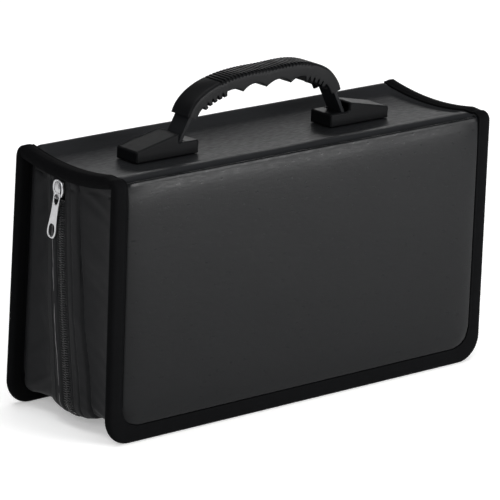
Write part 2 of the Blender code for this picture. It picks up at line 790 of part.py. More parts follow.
def add_sleeves(materials):
    half = CASE_LENGTH / 2 - SLEEVE_SIDE_ROOM
    bottom = STRIP_TOP - STRIP_THICKNESS
    strip = [(-half, STRIP_TOP), (half, STRIP_TOP), (half, bottom), (-half, bottom)]
    strip_half = SLEEVE_STACK / 2 + STRIP_OVERLAP
    add_solid("sleeve_strip", side_slab(strip, strip_half), materials["strip"])
    top = bottom - FIT
    foot = SLEEVE_FOOT_ROOM
    turns = [math.pi / 2 * k / ARC_STEPS for k in range(ARC_STEPS + 1)]
    inner = half - SLEEVE_CORNER
    left = [(-inner - SLEEVE_CORNER * math.cos(a), foot + SLEEVE_CORNER * (1 - math.sin(a))) for a in turns]
    outline = [(-half, top)] + left + [(-x, z) for x, z in reversed(left)] + [(half, top)]
    add_solid("sleeve_block", side_slab(outline, SLEEVE_STACK / 2), materials["sleeves"])


def make_materials():
    return {
        "leatherette": make_material("leatherette", (0.022, 0.023, 0.026), 0.42),
        "spine": make_material("spine_leatherette", (0.026, 0.027, 0.030), 0.48),
        "binding": make_material("woven_binding", (0.010, 0.010, 0.011), 0.85),
        "lining": make_material("nylon_lining", (0.030, 0.031, 0.034), 0.7),
        "gusset": make_material("nylon_gusset", (0.018, 0.019, 0.022), 0.62),
        "zip_tape": make_material("zip_tape", (0.010, 0.010, 0.011), 0.8),
        "zip_coil": make_material("zip_coil", (0.014, 0.014, 0.015), 0.4),
        "nickel": make_material("nickel", (0.62, 0.62, 0.63), 0.25, 1.0),
        "handle": make_material("moulded_plastic", (0.022, 0.023, 0.025), 0.5),
        "plate": make_material("steel_plate", (0.45, 0.45, 0.46), 0.4, 1.0),
        "screw": make_material("screw_steel", (0.5, 0.5, 0.51), 0.3, 1.0),
        "strip": make_material("sleeve_strip_cloth", (0.02, 0.02, 0.022), 0.8),
        "sleeves": make_material("sleeves", (0.05, 0.05, 0.055), 0.5),
    }


def build_cover_half(prefix, side, materials):
    pivot = add_pivot(prefix + "_hinge", (0, side * HINGE_Y, HINGE_Z))
    add_cover(prefix + "_cover", side, materials["leatherette"], pivot)
    add_cover_binding(prefix + "_binding", side, materials["binding"], pivot)
    add_lining(prefix + "_lining", side, materials["lining"], pivot)
    add_gusset(prefix + "_gusset", side, materials["gusset"], pivot)
    add_zip_half(prefix, side, materials, pivot)
    return pivot


def build_spine(materials):
    drill_spine(add_spine(materials["spine"]))
    for word, side in (("left", LEFT), ("right", RIGHT)):
        add_spine_binding("spine_binding_" + word, side, materials["binding"])
        add_base(word, side, materials["handle"])
        add_backing_plate(word, side, materials["plate"])
        add_screws(word, side, materials["screw"])
    add_sleeves(materials)


def build_handle(materials):
    lift = add_pivot("handle_slide", (HANDLE_X, 0, CASE_HEIGHT + GRIP_CROWN))
    add_grip(materials["handle"], lift)
    for word, side in (("left", LEFT), ("right", RIGHT)):
        bend = add_pivot(word + "_strap_bend", strap_pivot(side), lift)
        add_strap(word, side, materials["handle"], bend)


def build_zip_slider(materials, rear_pivot):
    runner = add_pivot("slider_run", slider_point(face_inset(), 0, 0), rear_pivot)
    add_slider(materials["nickel"], runner)
    swing = add_pivot("pull_swing", pull_place(), runner)
    add_pull(materials["nickel"], swing)


def main():
    clear_scene()
    materials = make_materials()
    build_spine(materials)
    build_cover_half("front", FRONT, materials)
    rear_pivot = build_cover_half("rear", REAR, materials)
    build_handle(materials)
    build_zip_slider(materials, rear_pivot)


main()
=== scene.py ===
# Looks of the storage case for discs: leatherette covers and spine, ribbed binding tape,
# cloth gusset with its zip, moulded handle and the sleeves inside.
#
# Metres. The front cover is at -Y, the zip slider on the left end at -X, +Z is up.

import math

import bmesh
import bpy
from mathutils import Matrix, Vector, noise


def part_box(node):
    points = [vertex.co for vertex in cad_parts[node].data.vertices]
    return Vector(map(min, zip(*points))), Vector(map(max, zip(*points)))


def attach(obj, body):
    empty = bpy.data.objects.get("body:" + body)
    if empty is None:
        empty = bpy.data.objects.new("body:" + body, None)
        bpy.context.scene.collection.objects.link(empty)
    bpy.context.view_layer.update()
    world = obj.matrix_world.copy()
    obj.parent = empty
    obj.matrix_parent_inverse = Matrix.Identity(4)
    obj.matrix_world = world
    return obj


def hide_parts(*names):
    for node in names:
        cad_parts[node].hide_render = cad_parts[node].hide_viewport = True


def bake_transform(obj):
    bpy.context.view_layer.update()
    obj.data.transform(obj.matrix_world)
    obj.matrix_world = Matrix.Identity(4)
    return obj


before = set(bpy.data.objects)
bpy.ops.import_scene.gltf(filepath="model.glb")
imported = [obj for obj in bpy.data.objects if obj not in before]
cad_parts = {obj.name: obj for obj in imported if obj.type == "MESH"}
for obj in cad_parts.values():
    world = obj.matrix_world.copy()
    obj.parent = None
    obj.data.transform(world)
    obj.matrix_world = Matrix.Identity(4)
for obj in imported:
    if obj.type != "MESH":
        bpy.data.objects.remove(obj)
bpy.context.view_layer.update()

MM = 0.001
NEXT_TO_NOTHING = 1e-9
FRONT, REAR = -1, 1
LEFT, RIGHT = -1, 1
HALVES = (("front", FRONT), ("rear", REAR))
ENDS = (("left", LEFT), ("right", RIGHT))

# Case, from the frame
CASE_LENGTH = 2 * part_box("front_binding")[1].x
CASE_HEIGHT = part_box("spine_panel")[1].z
COVER_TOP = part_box("front_cover")[1].z
SPINE_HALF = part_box("spine_panel")[1].y
FOOT_OUTER_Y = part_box("rear_binding")[1].y

# Case, driving sizes of the parts
COVER_LEAN = 3 * MM
EDGE_THICKNESS = 5 * MM
CORNER_RADIUS = 17 * MM
HINGE_DEPTH = 3 * MM
SPINE_DIP = 5 * MM
HALF_DEPTH = FOOT_OUTER_Y - COVER_LEAN
HINGE_Z = CASE_HEIGHT - HINGE_DEPTH
CORNER_X = CASE_LENGTH / 2 - CORNER_RADIUS

# Binding tape
TAPE_WIDTH = 10 * MM
TAPE_THICKNESS = 0.9 * MM
RIB_STEP = 0.62 * MM
RIB_HEIGHT = 0.13 * MM
TAPE_BULGE = 0.8 * MM
SPINE_TAPE_RISE = 2.1 * MM
FRONT_TAPE_FALL = 2.1 * MM
TAPE_FOLD_RADIUS = 2.9 * MM
TAPE_FOLD_STEPS = 9
TAPE_YARN = 0.42 * MM
ARC_PER_CHORD = 1.1
CORNER_PLEAT = 2.9 * MM
CORNER_PLEAT_REACH = 13 * MM
STITCH_INSET = 8.4 * MM
STITCH_PITCH = 3.3 * MM
STITCH_LENGTH = 2.5 * MM
STITCH_DEPTH = 0.12 * MM
STITCH_LEAD = 0.15
THREAD_RADIUS = 0.24 * MM

# Leatherette
SKIN_UNDER_TAPE = 1.15 * MM
SKIN_EDGE_INSET = 8.5 * MM
TUCK_START = 13 * MM
SKIN_THICKNESS = 0.9 * MM
FACE_STEP = 2.6 * MM
PAD_START = 9.9 * MM
PAD_RISE = 0.9 * MM
PAD_LIP = 0.1 * MM
PAD_SWELL_START = 10.6 * MM
PAD_SWELL = 1.6 * MM
PAD_REACH = 7 * MM
SKIN_WAVE = 0.16 * MM
SKIN_WAVE_LONG = 46 * MM
SKIN_WAVE_HIGH = 38 * MM
SPINE_WAVE = 0.22 * MM
SPINE_WAVE_LONG = 52 * MM
SPINE_WAVE_WIDE = 30 * MM
TOP_ROLL_REACH = 8.5 * MM
EDGE_INSETS = [8.5, 9.4, 9.9, 10.1, 10.3, 10.6, 11, 11.6, 12.4, 13.6, 15.4, 17.6, 20.4, 23.4]

# Sections near the hinge, in millimetres: distance from the case's middle and height
SKIN_OVER_HINGE = [(42.8, 163.4), (43.2, 162.5), (43.9, 162.1), (44.6, 162.6), (45.1, 164.0),
                   (45.7, 165.5), (46.6, 166.2), (47.3, 165.8), (47.7, 164.6), (47.9, 163.2)]
SPINE_RIM_FRONT = [(29, 165.3), (33, 166.6), (36, 167.3), (38.5, 167.4), (40.5, 166.8), (42, 165.6),
                   (42.9, 164.2), (43.2, 162.6)]
SPINE_RIM_REAR = [(29, 165.33), (33, 167.0), (36.5, 169.1), (39.2, 170.1), (41.2, 169.6),
                  (42.5, 167.8), (43.1, 165.4), (43.2, 163.0)]
TAPE_EDGE_FRONT = [(42.5, 168.0), (43.6, 167.8), (44.8, 167.5), (45.8, 167.1), (46.8, 166.4),
                   (47.7, 165.2), (48.2, 163.6)]
TAPE_EDGE_REAR = [(42.5, 169.9), (43.2, 168.4), (43.9, 166.9), (44.9, 166.6), (46.0, 166.8),
                  (47.0, 166.3), (47.7, 165.2), (48.2, 163.6)]

# One leg of the folded tape, in millimetres: inset from the edge and depth below the cover's face
TAPE_LEG = [(10.0, 0.25), (9.6, -0.1), (9.0, -0.12), (8.4, 0.06), (7.8, -0.15), (6.4, -0.4),
            (4.6, -0.48), (3.0, -0.42)]

# Where a piece would stop following the spine and where it would follow only the cover, as (Y, Z)
SKIN_BEND = ((42.8 * MM, 163.0 * MM), (45.6 * MM, 163.0 * MM))
TAPE_BEND = ((42.6 * MM, 165.0 * MM), (46.2 * MM, 163.4 * MM))

# Gusset cloth and zip
GUSSET_INSET = 6 * MM
GUSSET_TO_ZIP = 5 * MM
GUSSET_STEP = 1.35 * MM
GUSSET_ACROSS = 90
GUSSET_UNDER_COVER = 0.4 * MM
GUSSET_OVER_ZIP = 0.6 * MM
GUSSET_TOP_GAP = 0.2 * MM
GUSSET_SINK = 0.6 * MM
CLOTH_THICKNESS = 0.5 * MM
SAG_DEPTH = 2.4 * MM
RECESS_DEPTH = 4.4 * MM
RECESS_WIDTH = 2.8 * MM
HEM_FIRST = 9.2 * MM
HEM_SECOND = 15.6 * MM
HEM_LIFT = 1.5 * MM
HEM_STEP = 2 * MM
HEM_SPREAD = 1.35
HEM_SPREAD_LOW = 20 * MM
HEM_SPREAD_REACH = 110 * MM
SEAM_WIDTH = 0.5 * MM
TOP_SEAM_Z = 151.5 * MM
TOP_SEAM_SLOPE = 0.087
TOP_SEAM_DEPTH = 1.2 * MM
WIDE_FOLD, WIDE_FOLD_DEPTH = 38 * MM, 1.3 * MM
FINE_FOLD, FINE_FOLD_DEPTH = 15 * MM, 0.8 * MM
DRAWN_FOLD, DRAWN_SLANT = 7 * MM, 26 * MM
CREASED_TOP, CREASED_TOP_REACH = 128 * MM, 30 * MM
CREASED_FOOT, CREASED_FOOT_REACH = 20 * MM, 22 * MM
SELVEDGE_OFFSET = 8 * MM
SELVEDGE_WANDER = 0.35 * MM
SELVEDGE_PROUD = 0.1 * MM
SELVEDGE_END = 60 * MM
SELVEDGE_STEP = 2 * MM
COIL_TOP_LEFT = 143.15 * MM
COIL_TOP_RIGHT = 156 * MM
ZIP_LOW_Y = -4.2 * MM
ZIP_HIGH_Y = 10 * MM
ZIP_HIGH_Z = 150 * MM
ZIP_BOW = 1.9 * MM
TOOTH_PITCH = 1.5 * MM
TOOTH_RADIUS = 0.35 * MM

# A tooth's way, in millimetres from the zip's line and from the case's edge, with its thickness share
TOOTH_PATH = [(3.0, 6.6, 0.8), (3.1, 5.6, 1.0), (2.6, 4.85, 1.1), (1.5, 4.75, 0.8), (0.45, 4.7, 1.15),
              (-0.35, 4.95, 1.3), (-0.55, 5.6, 1.15), (-0.1, 6.2, 0.8)]
COIL_CORE = [(0.05, 5.9), (3.2, 5.9), (3.2, 7.4), (0.05, 7.4)]

# Slider and pull, in the frame's places
SLIDER_MIDDLE = Vector((-156.3, 10.053, 149.7)) * MM
ZIP_SLOPE = 0.106768
PULL_HINGE = Vector((-157.199, 9.714, 147.317)) * MM
PULL_SWING = math.radians(10.2)

# Outlines of the slider and the pull, in millimetres across and down; halves are mirrored
SLIDER_FACE = [(0, -6.9), (2.5, -6.3), (4.2, -4.4), (4.9, -1.6), (4.6, 1.4), (3.7, 3.6), (2.6, 4.7),
               (1.2, 5.0)]
SLIDER_BACK = [(0, -6.0), (2.4, -5.6), (3.8, -3.9), (4.3, -1.6), (4.2, 1.4), (3.9, 4.6), (3.5, 6.6),
               (1.6, 6.8)]
SLIDER_POST = [(-1.1, -6.2), (1.1, -6.2), (1.1, -3.4), (-1.1, -3.4)]
SLIDER_LIP = [(3.6, -4.2), (4.3, -4.0), (4.2, 1.6), (3.6, 2.0)]
PULL_OUTLINE = [(0, -0.9), (2.0, -0.85), (2.9, 0.4), (3.0, 3.5), (2.85, 8), (3.0, 14), (3.5, 20),
                (3.95, 24), (3.8, 27.2), (2.6, 29.4), (1.0, 30.1)]
PULL_EYE = [(0, 0.9), (1.5, 1.1), (2.2, 2.6), (1.9, 5.0), (0.8, 7.2)]
PULL_HOLE = [(0, 20.6), (1.6, 21.0), (2.6, 23.0), (2.7, 25.6), (2.0, 28.0), (0.8, 28.8)]

# The bail's way over the slider, in millimetres: inset, distance down and half width
BAIL = [(3.9, -4.6, 1.2), (3.0, -4.2, 1.6), (2.75, -2.6, 2.1), (2.7, -0.4, 2.3), (2.75, 1.6, 2.0),
        (2.6, 3.0, 1.3), (1.6, 3.9, 1.0), (1.5, 4.9, 0.9), (2.4, 5.6, 0.8), (3.9, 5.5, 0.8)]
BAIL_HALF_THICKNESS = 0.45

# Handle grip
HANDLE_X = -3.5 * MM
GRIP_WIDTH = 18 * MM
GRIP_HALF_SPAN = 66.7 * MM
GRIP_END = 65.4 * MM
GRIP_CROWN = 42.3 * MM
GRIP_ARC_FOOT = 10 * MM
GRIP_ARC_POWER = 2.5
GRIP_THICKNESS = 8.4 * MM
GRIP_END_THICKNESS = 7.8 * MM
GRIP_TOP_ROUND = 2.2 * MM
GRIP_LOW_ROUND = 1 * MM
RIGHT_SWELL = 2.4 * MM
RIGHT_THICKER = 1.6 * MM
RIGHT_SWELL_REACH = 38 * MM
RIGHT_FALL = 0.6
RIGHT_FALL_START = 52 * MM
RIGHT_FALL_REACH = 14 * MM
GRIP_STEP = 0.36 * MM
RIB_COUNT = 28
RIB_SPAN = 80 * MM
RIB_DEPTH = 1.1 * MM
RIB_GROOVE_HALF = 0.26
RIB_GROOVE_SLOPE = 0.14
FINGER_COUNT = 3
FINGER_PITCH = 20.8 * MM
FINGER_DEPTH = 3.6 * MM
TOOTH_FIRST = 37 * MM
GRIP_TOOTH_PITCH = 4.7 * MM
GRIP_TOOTH_COUNT = 5
GRIP_TOOTH_DEPTH = 3 * MM
GRIP_TOOTH_HALF = 0.36
GRIP_TOOTH_SLOPE = 0.1
CHANNEL_START = 57 * MM
CHANNEL_RAMP = 3 * MM
CHANNEL_LEAST = 0.02 * MM
CHANNEL_HALF = 7.4 * MM
CHANNEL_ROOF = 2.3 * MM

# Sleeves
LEAF_COUNT = 18
LEAF_STACK = 38 * MM
LEAF_LENGTH = 284 * MM
LEAF_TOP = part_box("sleeve_block")[1].z
LEAF_HEIGHT = LEAF_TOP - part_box("sleeve_block")[0].z
LEAF_HALF_THICKNESS = 0.6 * MM
LEAF_SPLAY = 0.9 * MM
LEAF_CORNER = 6 * MM
LEAF_STEP = 5 * MM
LEAF_WAVE = 0.5 * MM
LEAF_WAVE_LONG = 70 * MM
LEAF_WAVE_HIGH = 50 * MM
LEAF_SEAM = 3 * MM
SEAM_SHARE, PAGE_SHARE, DISC_SHARE = 0.55, 0.25, 0.2
DISC_RADIUS = 60 * MM
DISC_ROOM = 1 * MM
DISC_EDGE = 1.5 * MM

# Camera
AZIMUTH, ELEVATION, ROLL = math.radians(-42.82), math.radians(16.71), math.radians(2.84)
CAMERA_DISTANCE = 2.6685
CAMERA_TARGET = Vector((0.0038, 0, 0.0746))
FOCAL_PIXELS = 4149.0
IMAGE_WIDTH = 500
MIDDLE_PIXEL = (257.1, 269.0)
SENSOR_WIDTH = 36

# Studio; each lamp has its place, the point it faces, its two sizes and its power
FLOOR_HALF = 12.0
FLOOR_COLOUR = (0.92, 0.92, 0.92)
FLOOR_GLOW = 0.3
ROOM_LIGHT_LOW = 0.08
ROOM_LIGHT_HIGH = 0.2
LIGHTS = (
    ("overhead", (-0.2, 0.1, 2.2), (0, 0, 0.1), (2.2, 2.2), 36),
    ("front_right", (0.46, -0.94, 0.27), (-0.05, 0, 0.12), (0.8, 0.3), 13),
    ("rear_right", (1.3, 1.4, 0.62), (0, 0, 0.16), (1.2, 0.35), 5),
    ("left", (-1.6, -0.9, 0.9), (0, 0, 0.1), (0.9, 0.9), 14),
)

# Tones
# Painted light: the covers and the spine wear one leatherette, but the spine's top gets a lighter copy of it
# and the covers' upright faces a darker one
LEATHER = (0.0030, 0.0033, 0.0038)
SPINE_LEATHER_PAINTED_LIGHTER = (0.0110, 0.0115, 0.0126)
TAPE = (0.0026, 0.0027, 0.0030)
CLOTH = (0.0070, 0.0073, 0.0081)
LINING = (0.0200, 0.0205, 0.0220)
THREAD = (0.00416, 0.00432, 0.0048)
PALE_THREAD = (0.16, 0.16, 0.165)
PLASTIC = (0.0034, 0.0036, 0.0041)
STRAP = (0.00748, 0.00792, 0.00902)
NYLON = (0.0200, 0.0205, 0.0215)
NICKEL = (0.52, 0.52, 0.53)
STEEL = (0.50, 0.50, 0.51)
FILM = (0.10, 0.105, 0.11)


# Materials

class Look:
    """A node material under construction, with short calls for its nodes.

    Its patterns lie on the UVs or on the piece's own coordinates. Both are in metres.
    """

    def __init__(self, name, colour, roughness, metallic=0.0, specular=0.5, space="UV"):
        self.material = bpy.data.materials.new(name)
        self.material.use_nodes = True
        self.tree = self.material.node_tree
        self.shader = self.tree.nodes["Principled BSDF"]
        self.shader.inputs["Base Color"].default_value = (*colour, 1)
        self.shader.inputs["Roughness"].default_value = roughness
        self.shader.inputs["Metallic"].default_value = metallic
        self.shader.inputs["Specular IOR Level"].default_value = specular
        self.colour = colour
        self.space = space
        self.bumps = None

    def feed(self, socket, value):
        """Links another node's output to a socket, or sets the socket to a plain value."""
        if isinstance(value, bpy.types.NodeSocket):
            self.tree.links.new(value, socket)
        else:
            socket.default_value = value

    def node(self, kind, **inputs):
        made = self.tree.nodes.new(kind)
        for name, value in inputs.items():
            self.feed(made.inputs[name.replace("_", " ")], value)
        return made

    def place(self, stretch):
        """Coordinates stretched alike or per axis; a larger number makes finer detail."""
        source = self.tree.nodes.new("ShaderNodeTexCoord").outputs[self.space]
        scale = stretch if isinstance(stretch, tuple) else (stretch, stretch, stretch)
        return self.node("ShaderNodeMapping", Vector=source, Scale=scale).outputs["Vector"]

    def noise(self, stretch, detail=2.0, roughness=0.5):
        made = self.node("ShaderNodeTexNoise", Vector=self.place(stretch), Scale=1.0,
                         Detail=detail, Roughness=roughness)
        return made.outputs["Fac"]

    def wave(self, stretch, direction="X", distortion=0.0):
        made = self.node("ShaderNodeTexWave", Vector=self.place(stretch), Scale=1.0,
                         Distortion=distortion)
        made.bands_direction = direction
        return made.outputs["Fac"]

    def math(self, operation, first, second):
        made = self.tree.nodes.new("ShaderNodeMath")
        made.operation = operation
        self.feed(made.inputs[0], first)
        self.feed(made.inputs[1], second)
        return made.outputs["Value"]

    def span(self, value, low, high, start=0.0, end=1.0):
        """A value's range from start to end laid onto low to high."""
        made = self.node("ShaderNodeMapRange", Value=value, From_Min=start, From_Max=end,
                         To_Min=low, To_Max=high)
        return made.outputs["Result"]

    def vary_colour(self, value, dark, light):
        """The base colour between a dark and a light share of the look's own tone."""
        ramp = self.node("ShaderNodeValToRGB", Fac=value)
        for stop, share in zip(ramp.color_ramp.elements, (dark, light)):
            stop.color = (*(part * share for part in self.colour), 1)
        self.feed(self.shader.inputs["Base Color"], ramp.outputs["Color"])

    def vary_roughness(self, value, low, high, start=0.0, end=1.0):
        self.feed(self.shader.inputs["Roughness"], self.span(value, low, high, start, end))

    def bump(self, height, depth, strength=1.0):
        """One more layer of relief, depth in metres."""
        made = self.node("ShaderNodeBump", Height=height, Distance=depth, Strength=strength)
        if self.bumps:
            self.feed(made.inputs["Normal"], self.bumps)
        self.bumps = made.outputs["Normal"]
        self.feed(self.shader.inputs["Normal"], self.bumps)


def leatherette(name, colour, roughness, specular):
    """Embossed grain: fine pebbles, short creases along the case, and slow colour changes."""
    look = Look(name, colour, roughness, specular=specular)
    pebbles = look.noise((800, 1000, 1), detail=1.0)
    creases = look.noise((170, 620, 1), detail=3.0, roughness=0.45)
    folds = look.noise((36, 130, 1), detail=4.0, roughness=0.6)
    look.bump(folds, 0.18 * MM, 0.7)
    look.bump(creases, 0.085 * MM, 0.8)
    look.bump(pebbles, 0.05 * MM, 0.6)
    look.vary_colour(look.noise((22, 30, 1), detail=4.0), 0.86, 1.16)
    look.vary_roughness(creases, roughness - 0.06, roughness + 0.08, 0.3, 0.7)
    return look.material


def ribbed_tape(name, colour):
    """Woven ribbon: yarns across the ribs and a soft nap."""
    look = Look(name, colour, 0.85, specular=0.03)
    yarns = look.wave((1 / TAPE_YARN / math.pi, 60, 1), "X", distortion=0.6)
    look.bump(yarns, 0.05 * MM, 0.4)
    look.bump(look.noise((1500, 1500, 1)), 0.03 * MM, 0.4)
    look.vary_colour(look.noise((60, 240, 1), detail=5.0), 0.75, 1.35)
    return look.material


def woven_cloth(name, colour, pitch, roughness=0.62, space="UV"):
    """Plain weave: two crossing sets of yarns."""
    look = Look(name, colour, roughness, specular=0.15, space=space)
    warp, weft = (look.wave(1 / pitch / math.pi, axis, distortion=0.4) for axis in "XY")
    look.bump(look.noise(90, detail=4.0, roughness=0.6), 0.25 * MM, 0.35)
    look.bump(look.math("MULTIPLY", warp, weft), 0.06 * MM, 0.6)
    look.vary_colour(look.noise(45, detail=5.0), 0.82, 1.2)
    look.vary_roughness(look.noise(160, detail=3.0), roughness - 0.08, roughness + 0.1)
    look.shader.inputs["Sheen Weight"].default_value = 0.02
    look.shader.inputs["Sheen Roughness"].default_value = 0.4
    return look.material


def moulded_plastic(name, colour, roughness, specular=0.08):
    """Spark-eroded matt plastic with faint flow and handling marks."""
    look = Look(name, colour, roughness, specular=specular, space="Object")
    look.bump(look.noise(2600), 0.03 * MM, 0.5)
    look.bump(look.noise(140, detail=3.0), 0.08 * MM, 0.25)
    look.vary_colour(look.noise(60, detail=4.0), 0.85, 1.2)
    marks = look.noise(210, detail=4.0, roughness=0.6)
    look.vary_roughness(marks, roughness - 0.07, roughness + 0.09)
    return look.material


def metal(name, colour, roughness):
    """Plated metal with a fine tumbled texture and faint wear."""
    look = Look(name, colour, roughness, metallic=1.0, space="Object")
    look.bump(look.noise(1300, detail=3.0), 0.02 * MM, 0.4)
    look.vary_colour(look.noise(300, detail=4.0, roughness=0.6), 0.8, 1.1)
    wear = look.noise(500, detail=4.0, roughness=0.6)
    look.vary_roughness(wear, roughness - 0.08, roughness + 0.14)
    return look.material


def sleeve_film(name, colour):
    """Sleeve pages: non-woven backing behind clear film, so glossy and a little uneven."""
    look = Look(name, colour, 0.22, specular=0.6, space="Object")
    look.bump(look.noise(60, detail=3.0), 0.3 * MM, 0.3)
    look.vary_colour(look.noise(700, detail=4.0, roughness=0.6), 0.75, 1.25)
    return look.material


# Mesh building

def add_to_scene(name, data):
    made = bpy.data.objects.new(name, data)
    bpy.context.scene.collection.objects.link(made)
    return made


def lengths(points):
    """Distance along a row of points up to each of them."""
    total, found = 0.0, [0.0]
    for near, far in zip(points, points[1:]):
        total += (Vector(far) - Vector(near)).length
        found.append(total)
    return found


class Parts:
    """Points, faces and one UV pair per face corner, in metres, of shapes that make one mesh."""

    def __init__(self):
        self.points, self.faces, self.uvs = [], [], []

    def add_grid(self, rows, u=None, v=None):
        """An open surface through rows of points."""
        start, width = len(self.points), len(rows[0])
        middle = len(rows) // 2
        u = u or lengths(rows[middle])
        v = v or lengths([row[width // 2] for row in rows])
        for row in rows:
            self.points += row
        for i in range(len(rows) - 1):
            for k in range(width - 1):
                a = start + i * width + k
                self.faces.append((a, a + 1, a + width + 1, a + width))
                self.uvs += [(u[k], v[i]), (u[k + 1], v[i]), (u[k + 1], v[i + 1]), (u[k], v[i + 1])]

    def add_sweep(self, rings, caps=True):
        """A closed solid through closed rings of points."""
        start, count = len(self.points), len(rings[0])
        around = lengths(rings[0] + [rings[0][0]])
        along = lengths([[sum(p[a] for p in ring) / count for a in range(3)] for ring in rings])
        for ring in rings:
            self.points += ring
        for i in range(len(rings) - 1):
            for k in range(count):
                after = (k + 1) % count
                a, b = start + i * count, start + (i + 1) * count
                self.faces.append((a + k, a + after, b + after, b + k))
                self.uvs += [(around[k], along[i]), (around[k + 1], along[i]),
                             (around[k + 1], along[i + 1]), (around[k], along[i + 1])]
        if caps:
            first, last = list(range(start, start + count)), len(self.points) - count
            self.faces += [tuple(reversed(first)), tuple(range(last, last + count))]
            self.uvs += [(around[k], 0.0) for k in range(count)] * 2

    def build(self, name, material, sharp=35):
        """The mesh object: faces outwards, shaded smooth but for edges sharper than an angle."""
        mesh = bpy.data.meshes.new(name)
        mesh.from_pydata(self.points, [], self.faces)
        layer = mesh.uv_layers.new(name="UVMap")
        layer.data.foreach_set("uv", [part for pair in self.uvs for part in pair])
        mesh.shade_smooth()
        mesh.set_sharp_from_angle(angle=math.radians(sharp))
        mesh.materials.append(material)
        made = add_to_scene(name, mesh)
        work = bmesh.new()
        work.from_mesh(mesh)
        bmesh.ops.recalc_face_normals(work, faces=work.faces)
        work.to_mesh(mesh)
        work.free()
        return made


def build_swept(name, rings, material, sharp=35):
    """A closed solid through closed rings of points, as a piece of its own."""
    parts = Parts()
    parts.add_sweep(rings)
    return parts.build(name, material, sharp)


def build_cloth(name, rows, material, thickness, u=None):
    """A sheet with a thickness through rows of points, facing away from the middle of the case."""
    parts = Parts()
    parts.add_grid(rows, u)
    sheet = parts.build(name, material, 60)
    middle = Vector((0, 0, CASE_HEIGHT / 2))
    if sum((f.center - middle).dot(f.normal) * f.area for f in sheet.data.polygons) < 0:
        sheet.data.flip_normals()
    solid = sheet.modifiers.new("cloth_thickness", "SOLIDIFY")
    solid.thickness = thickness
    solid.offset = -1
    return sheet


def smooth_share(value):
    value = min(max(value, 0.0), 1.0)
    return value * value * (3 - 2 * value)


def ripple(x, y, z, seed=0.0):
    """Smooth noise from -1 to 1 at a point given in wavelengths."""
    return noise.noise(Vector((x + seed, y - seed, z + 2 * seed)))


def spread(low, high, step):
    """Evenly spaced places from low to high, about a step apart."""
    count = max(1, round(abs(high - low) / step))
    return [low + (high - low) * k / count for k in range(count + 1)]


def between(neighbours, t):
    """A point on the smooth curve through four 2-D points, at a share between the middle two."""
    return tuple(0.5 * (2 * q + (r - p) * t + (2 * p - 5 * q + 4 * r - s) * t ** 2
                        + (3 * q - p - 3 * r + s) * t ** 3) for p, q, r, s in zip(*neighbours))


def curve_through(points, per_span):
    """The smooth curve through the points that lie between the first and the last one."""
    groups = zip(points, points[1:], points[2:], points[3:])
    return [between(group, k / per_span) for group in groups for k in range(per_span)]


def in_metres(points):
    return [(a * MM, b * MM) for a, b in points]


def smooth_curve(points, per_span):
    """An open smooth curve through 2-D points given in millimetres."""
    points = in_metres(points)
    return curve_through(points[:1] + points + points[-1:], per_span) + points[-1:]


def smooth_loop(points, per_span=6):
    """A closed smooth curve through 2-D points given in millimetres."""
    points = in_metres(points)
    return curve_through(points[-1:] + points + points[:2], per_span)


def round_ring(centre, across, up, radius, sides=6):
    """Points of a circle about a centre, in the plane of two directions."""
    turns = [2 * math.pi * k / sides for k in range(sides)]
    return [tuple(centre + (across * math.cos(a) + up * math.sin(a)) * radius) for a in turns]


# Case shape

def lean_at(z):
    return COVER_LEAN * (HINGE_Z - z) / HINGE_Z


def cover_y(side, depth, z):
    """Y at a depth below a cover's outer face."""
    return side * (HALF_DEPTH - depth + lean_at(z))


def spine_z(y, depth):
    return CASE_HEIGHT - depth - SPINE_DIP * (1 - (y / SPINE_HALF) ** 2)


def edge_stations(left_top, right_top, step):
    """Round the open outline, left top to right top: a point of the inner frame and the way out."""
    quarter = spread(0, math.pi / 2, step / (CORNER_RADIUS - GUSSET_INSET))
    left = [(-CORNER_X, z, -1.0, 0.0) for z in spread(left_top, CORNER_RADIUS, step)[:-1]]
    left += [(-CORNER_X, CORNER_RADIUS, -math.cos(a), -math.sin(a)) for a in quarter]
    foot = [(x, CORNER_RADIUS, 0.0, -1.0) for x in spread(-CORNER_X, CORNER_X, step)[1:-1]]
    right = [(CORNER_X, CORNER_RADIUS, math.cos(a), -math.sin(a)) for a in reversed(quarter)]
    right += [(CORNER_X, z, 1.0, 0.0) for z in spread(CORNER_RADIUS, right_top, step)[1:]]
    return left + foot + right


def at_inset(station, inset):
    """X and Z of a station at an inset from the case's edge."""
    x, z, out_x, out_z = station
    reach = CORNER_RADIUS - inset
    return x + out_x * reach, z + out_z * reach


def inset_of(x, z):
    """How far a point of a cover lies in from the cover's outline."""
    beside, below = abs(x) - CORNER_X, CORNER_RADIUS - z
    if beside > 0 and below > 0:
        return CORNER_RADIUS - math.hypot(beside, below)
    return CORNER_RADIUS - max(beside, below)


def corner_width(x, z):
    """How much further in the tape's inner edge reaches near a rounded lower corner."""
    beside, below = abs(x) - CORNER_X, CORNER_RADIUS - z
    inner = CORNER_RADIUS - TAPE_WIDTH
    if beside > 0 and below > 0:
        away = abs(math.atan2(below, beside) - math.pi / 4) * inner
    else:
        away = math.pi / 4 * inner - min(beside, below) if max(beside, below) > 0 else CORNER_PLEAT_REACH
    return CORNER_PLEAT * max(0.0, 1 - (away / CORNER_PLEAT_REACH) ** 2) ** 2


def spine_tape_z(y, depth):
    """Height in the tape over the spine's end: proud of the leatherette, lower at its front corner."""
    proud = SPINE_TAPE_RISE - FRONT_TAPE_FALL * smooth_share((-y - 0.75 * SPINE_HALF) / (0.25 * SPINE_HALF))
    return spine_z(y, depth) + proud * (1 - depth / EDGE_THICKNESS)


# Leatherette skins

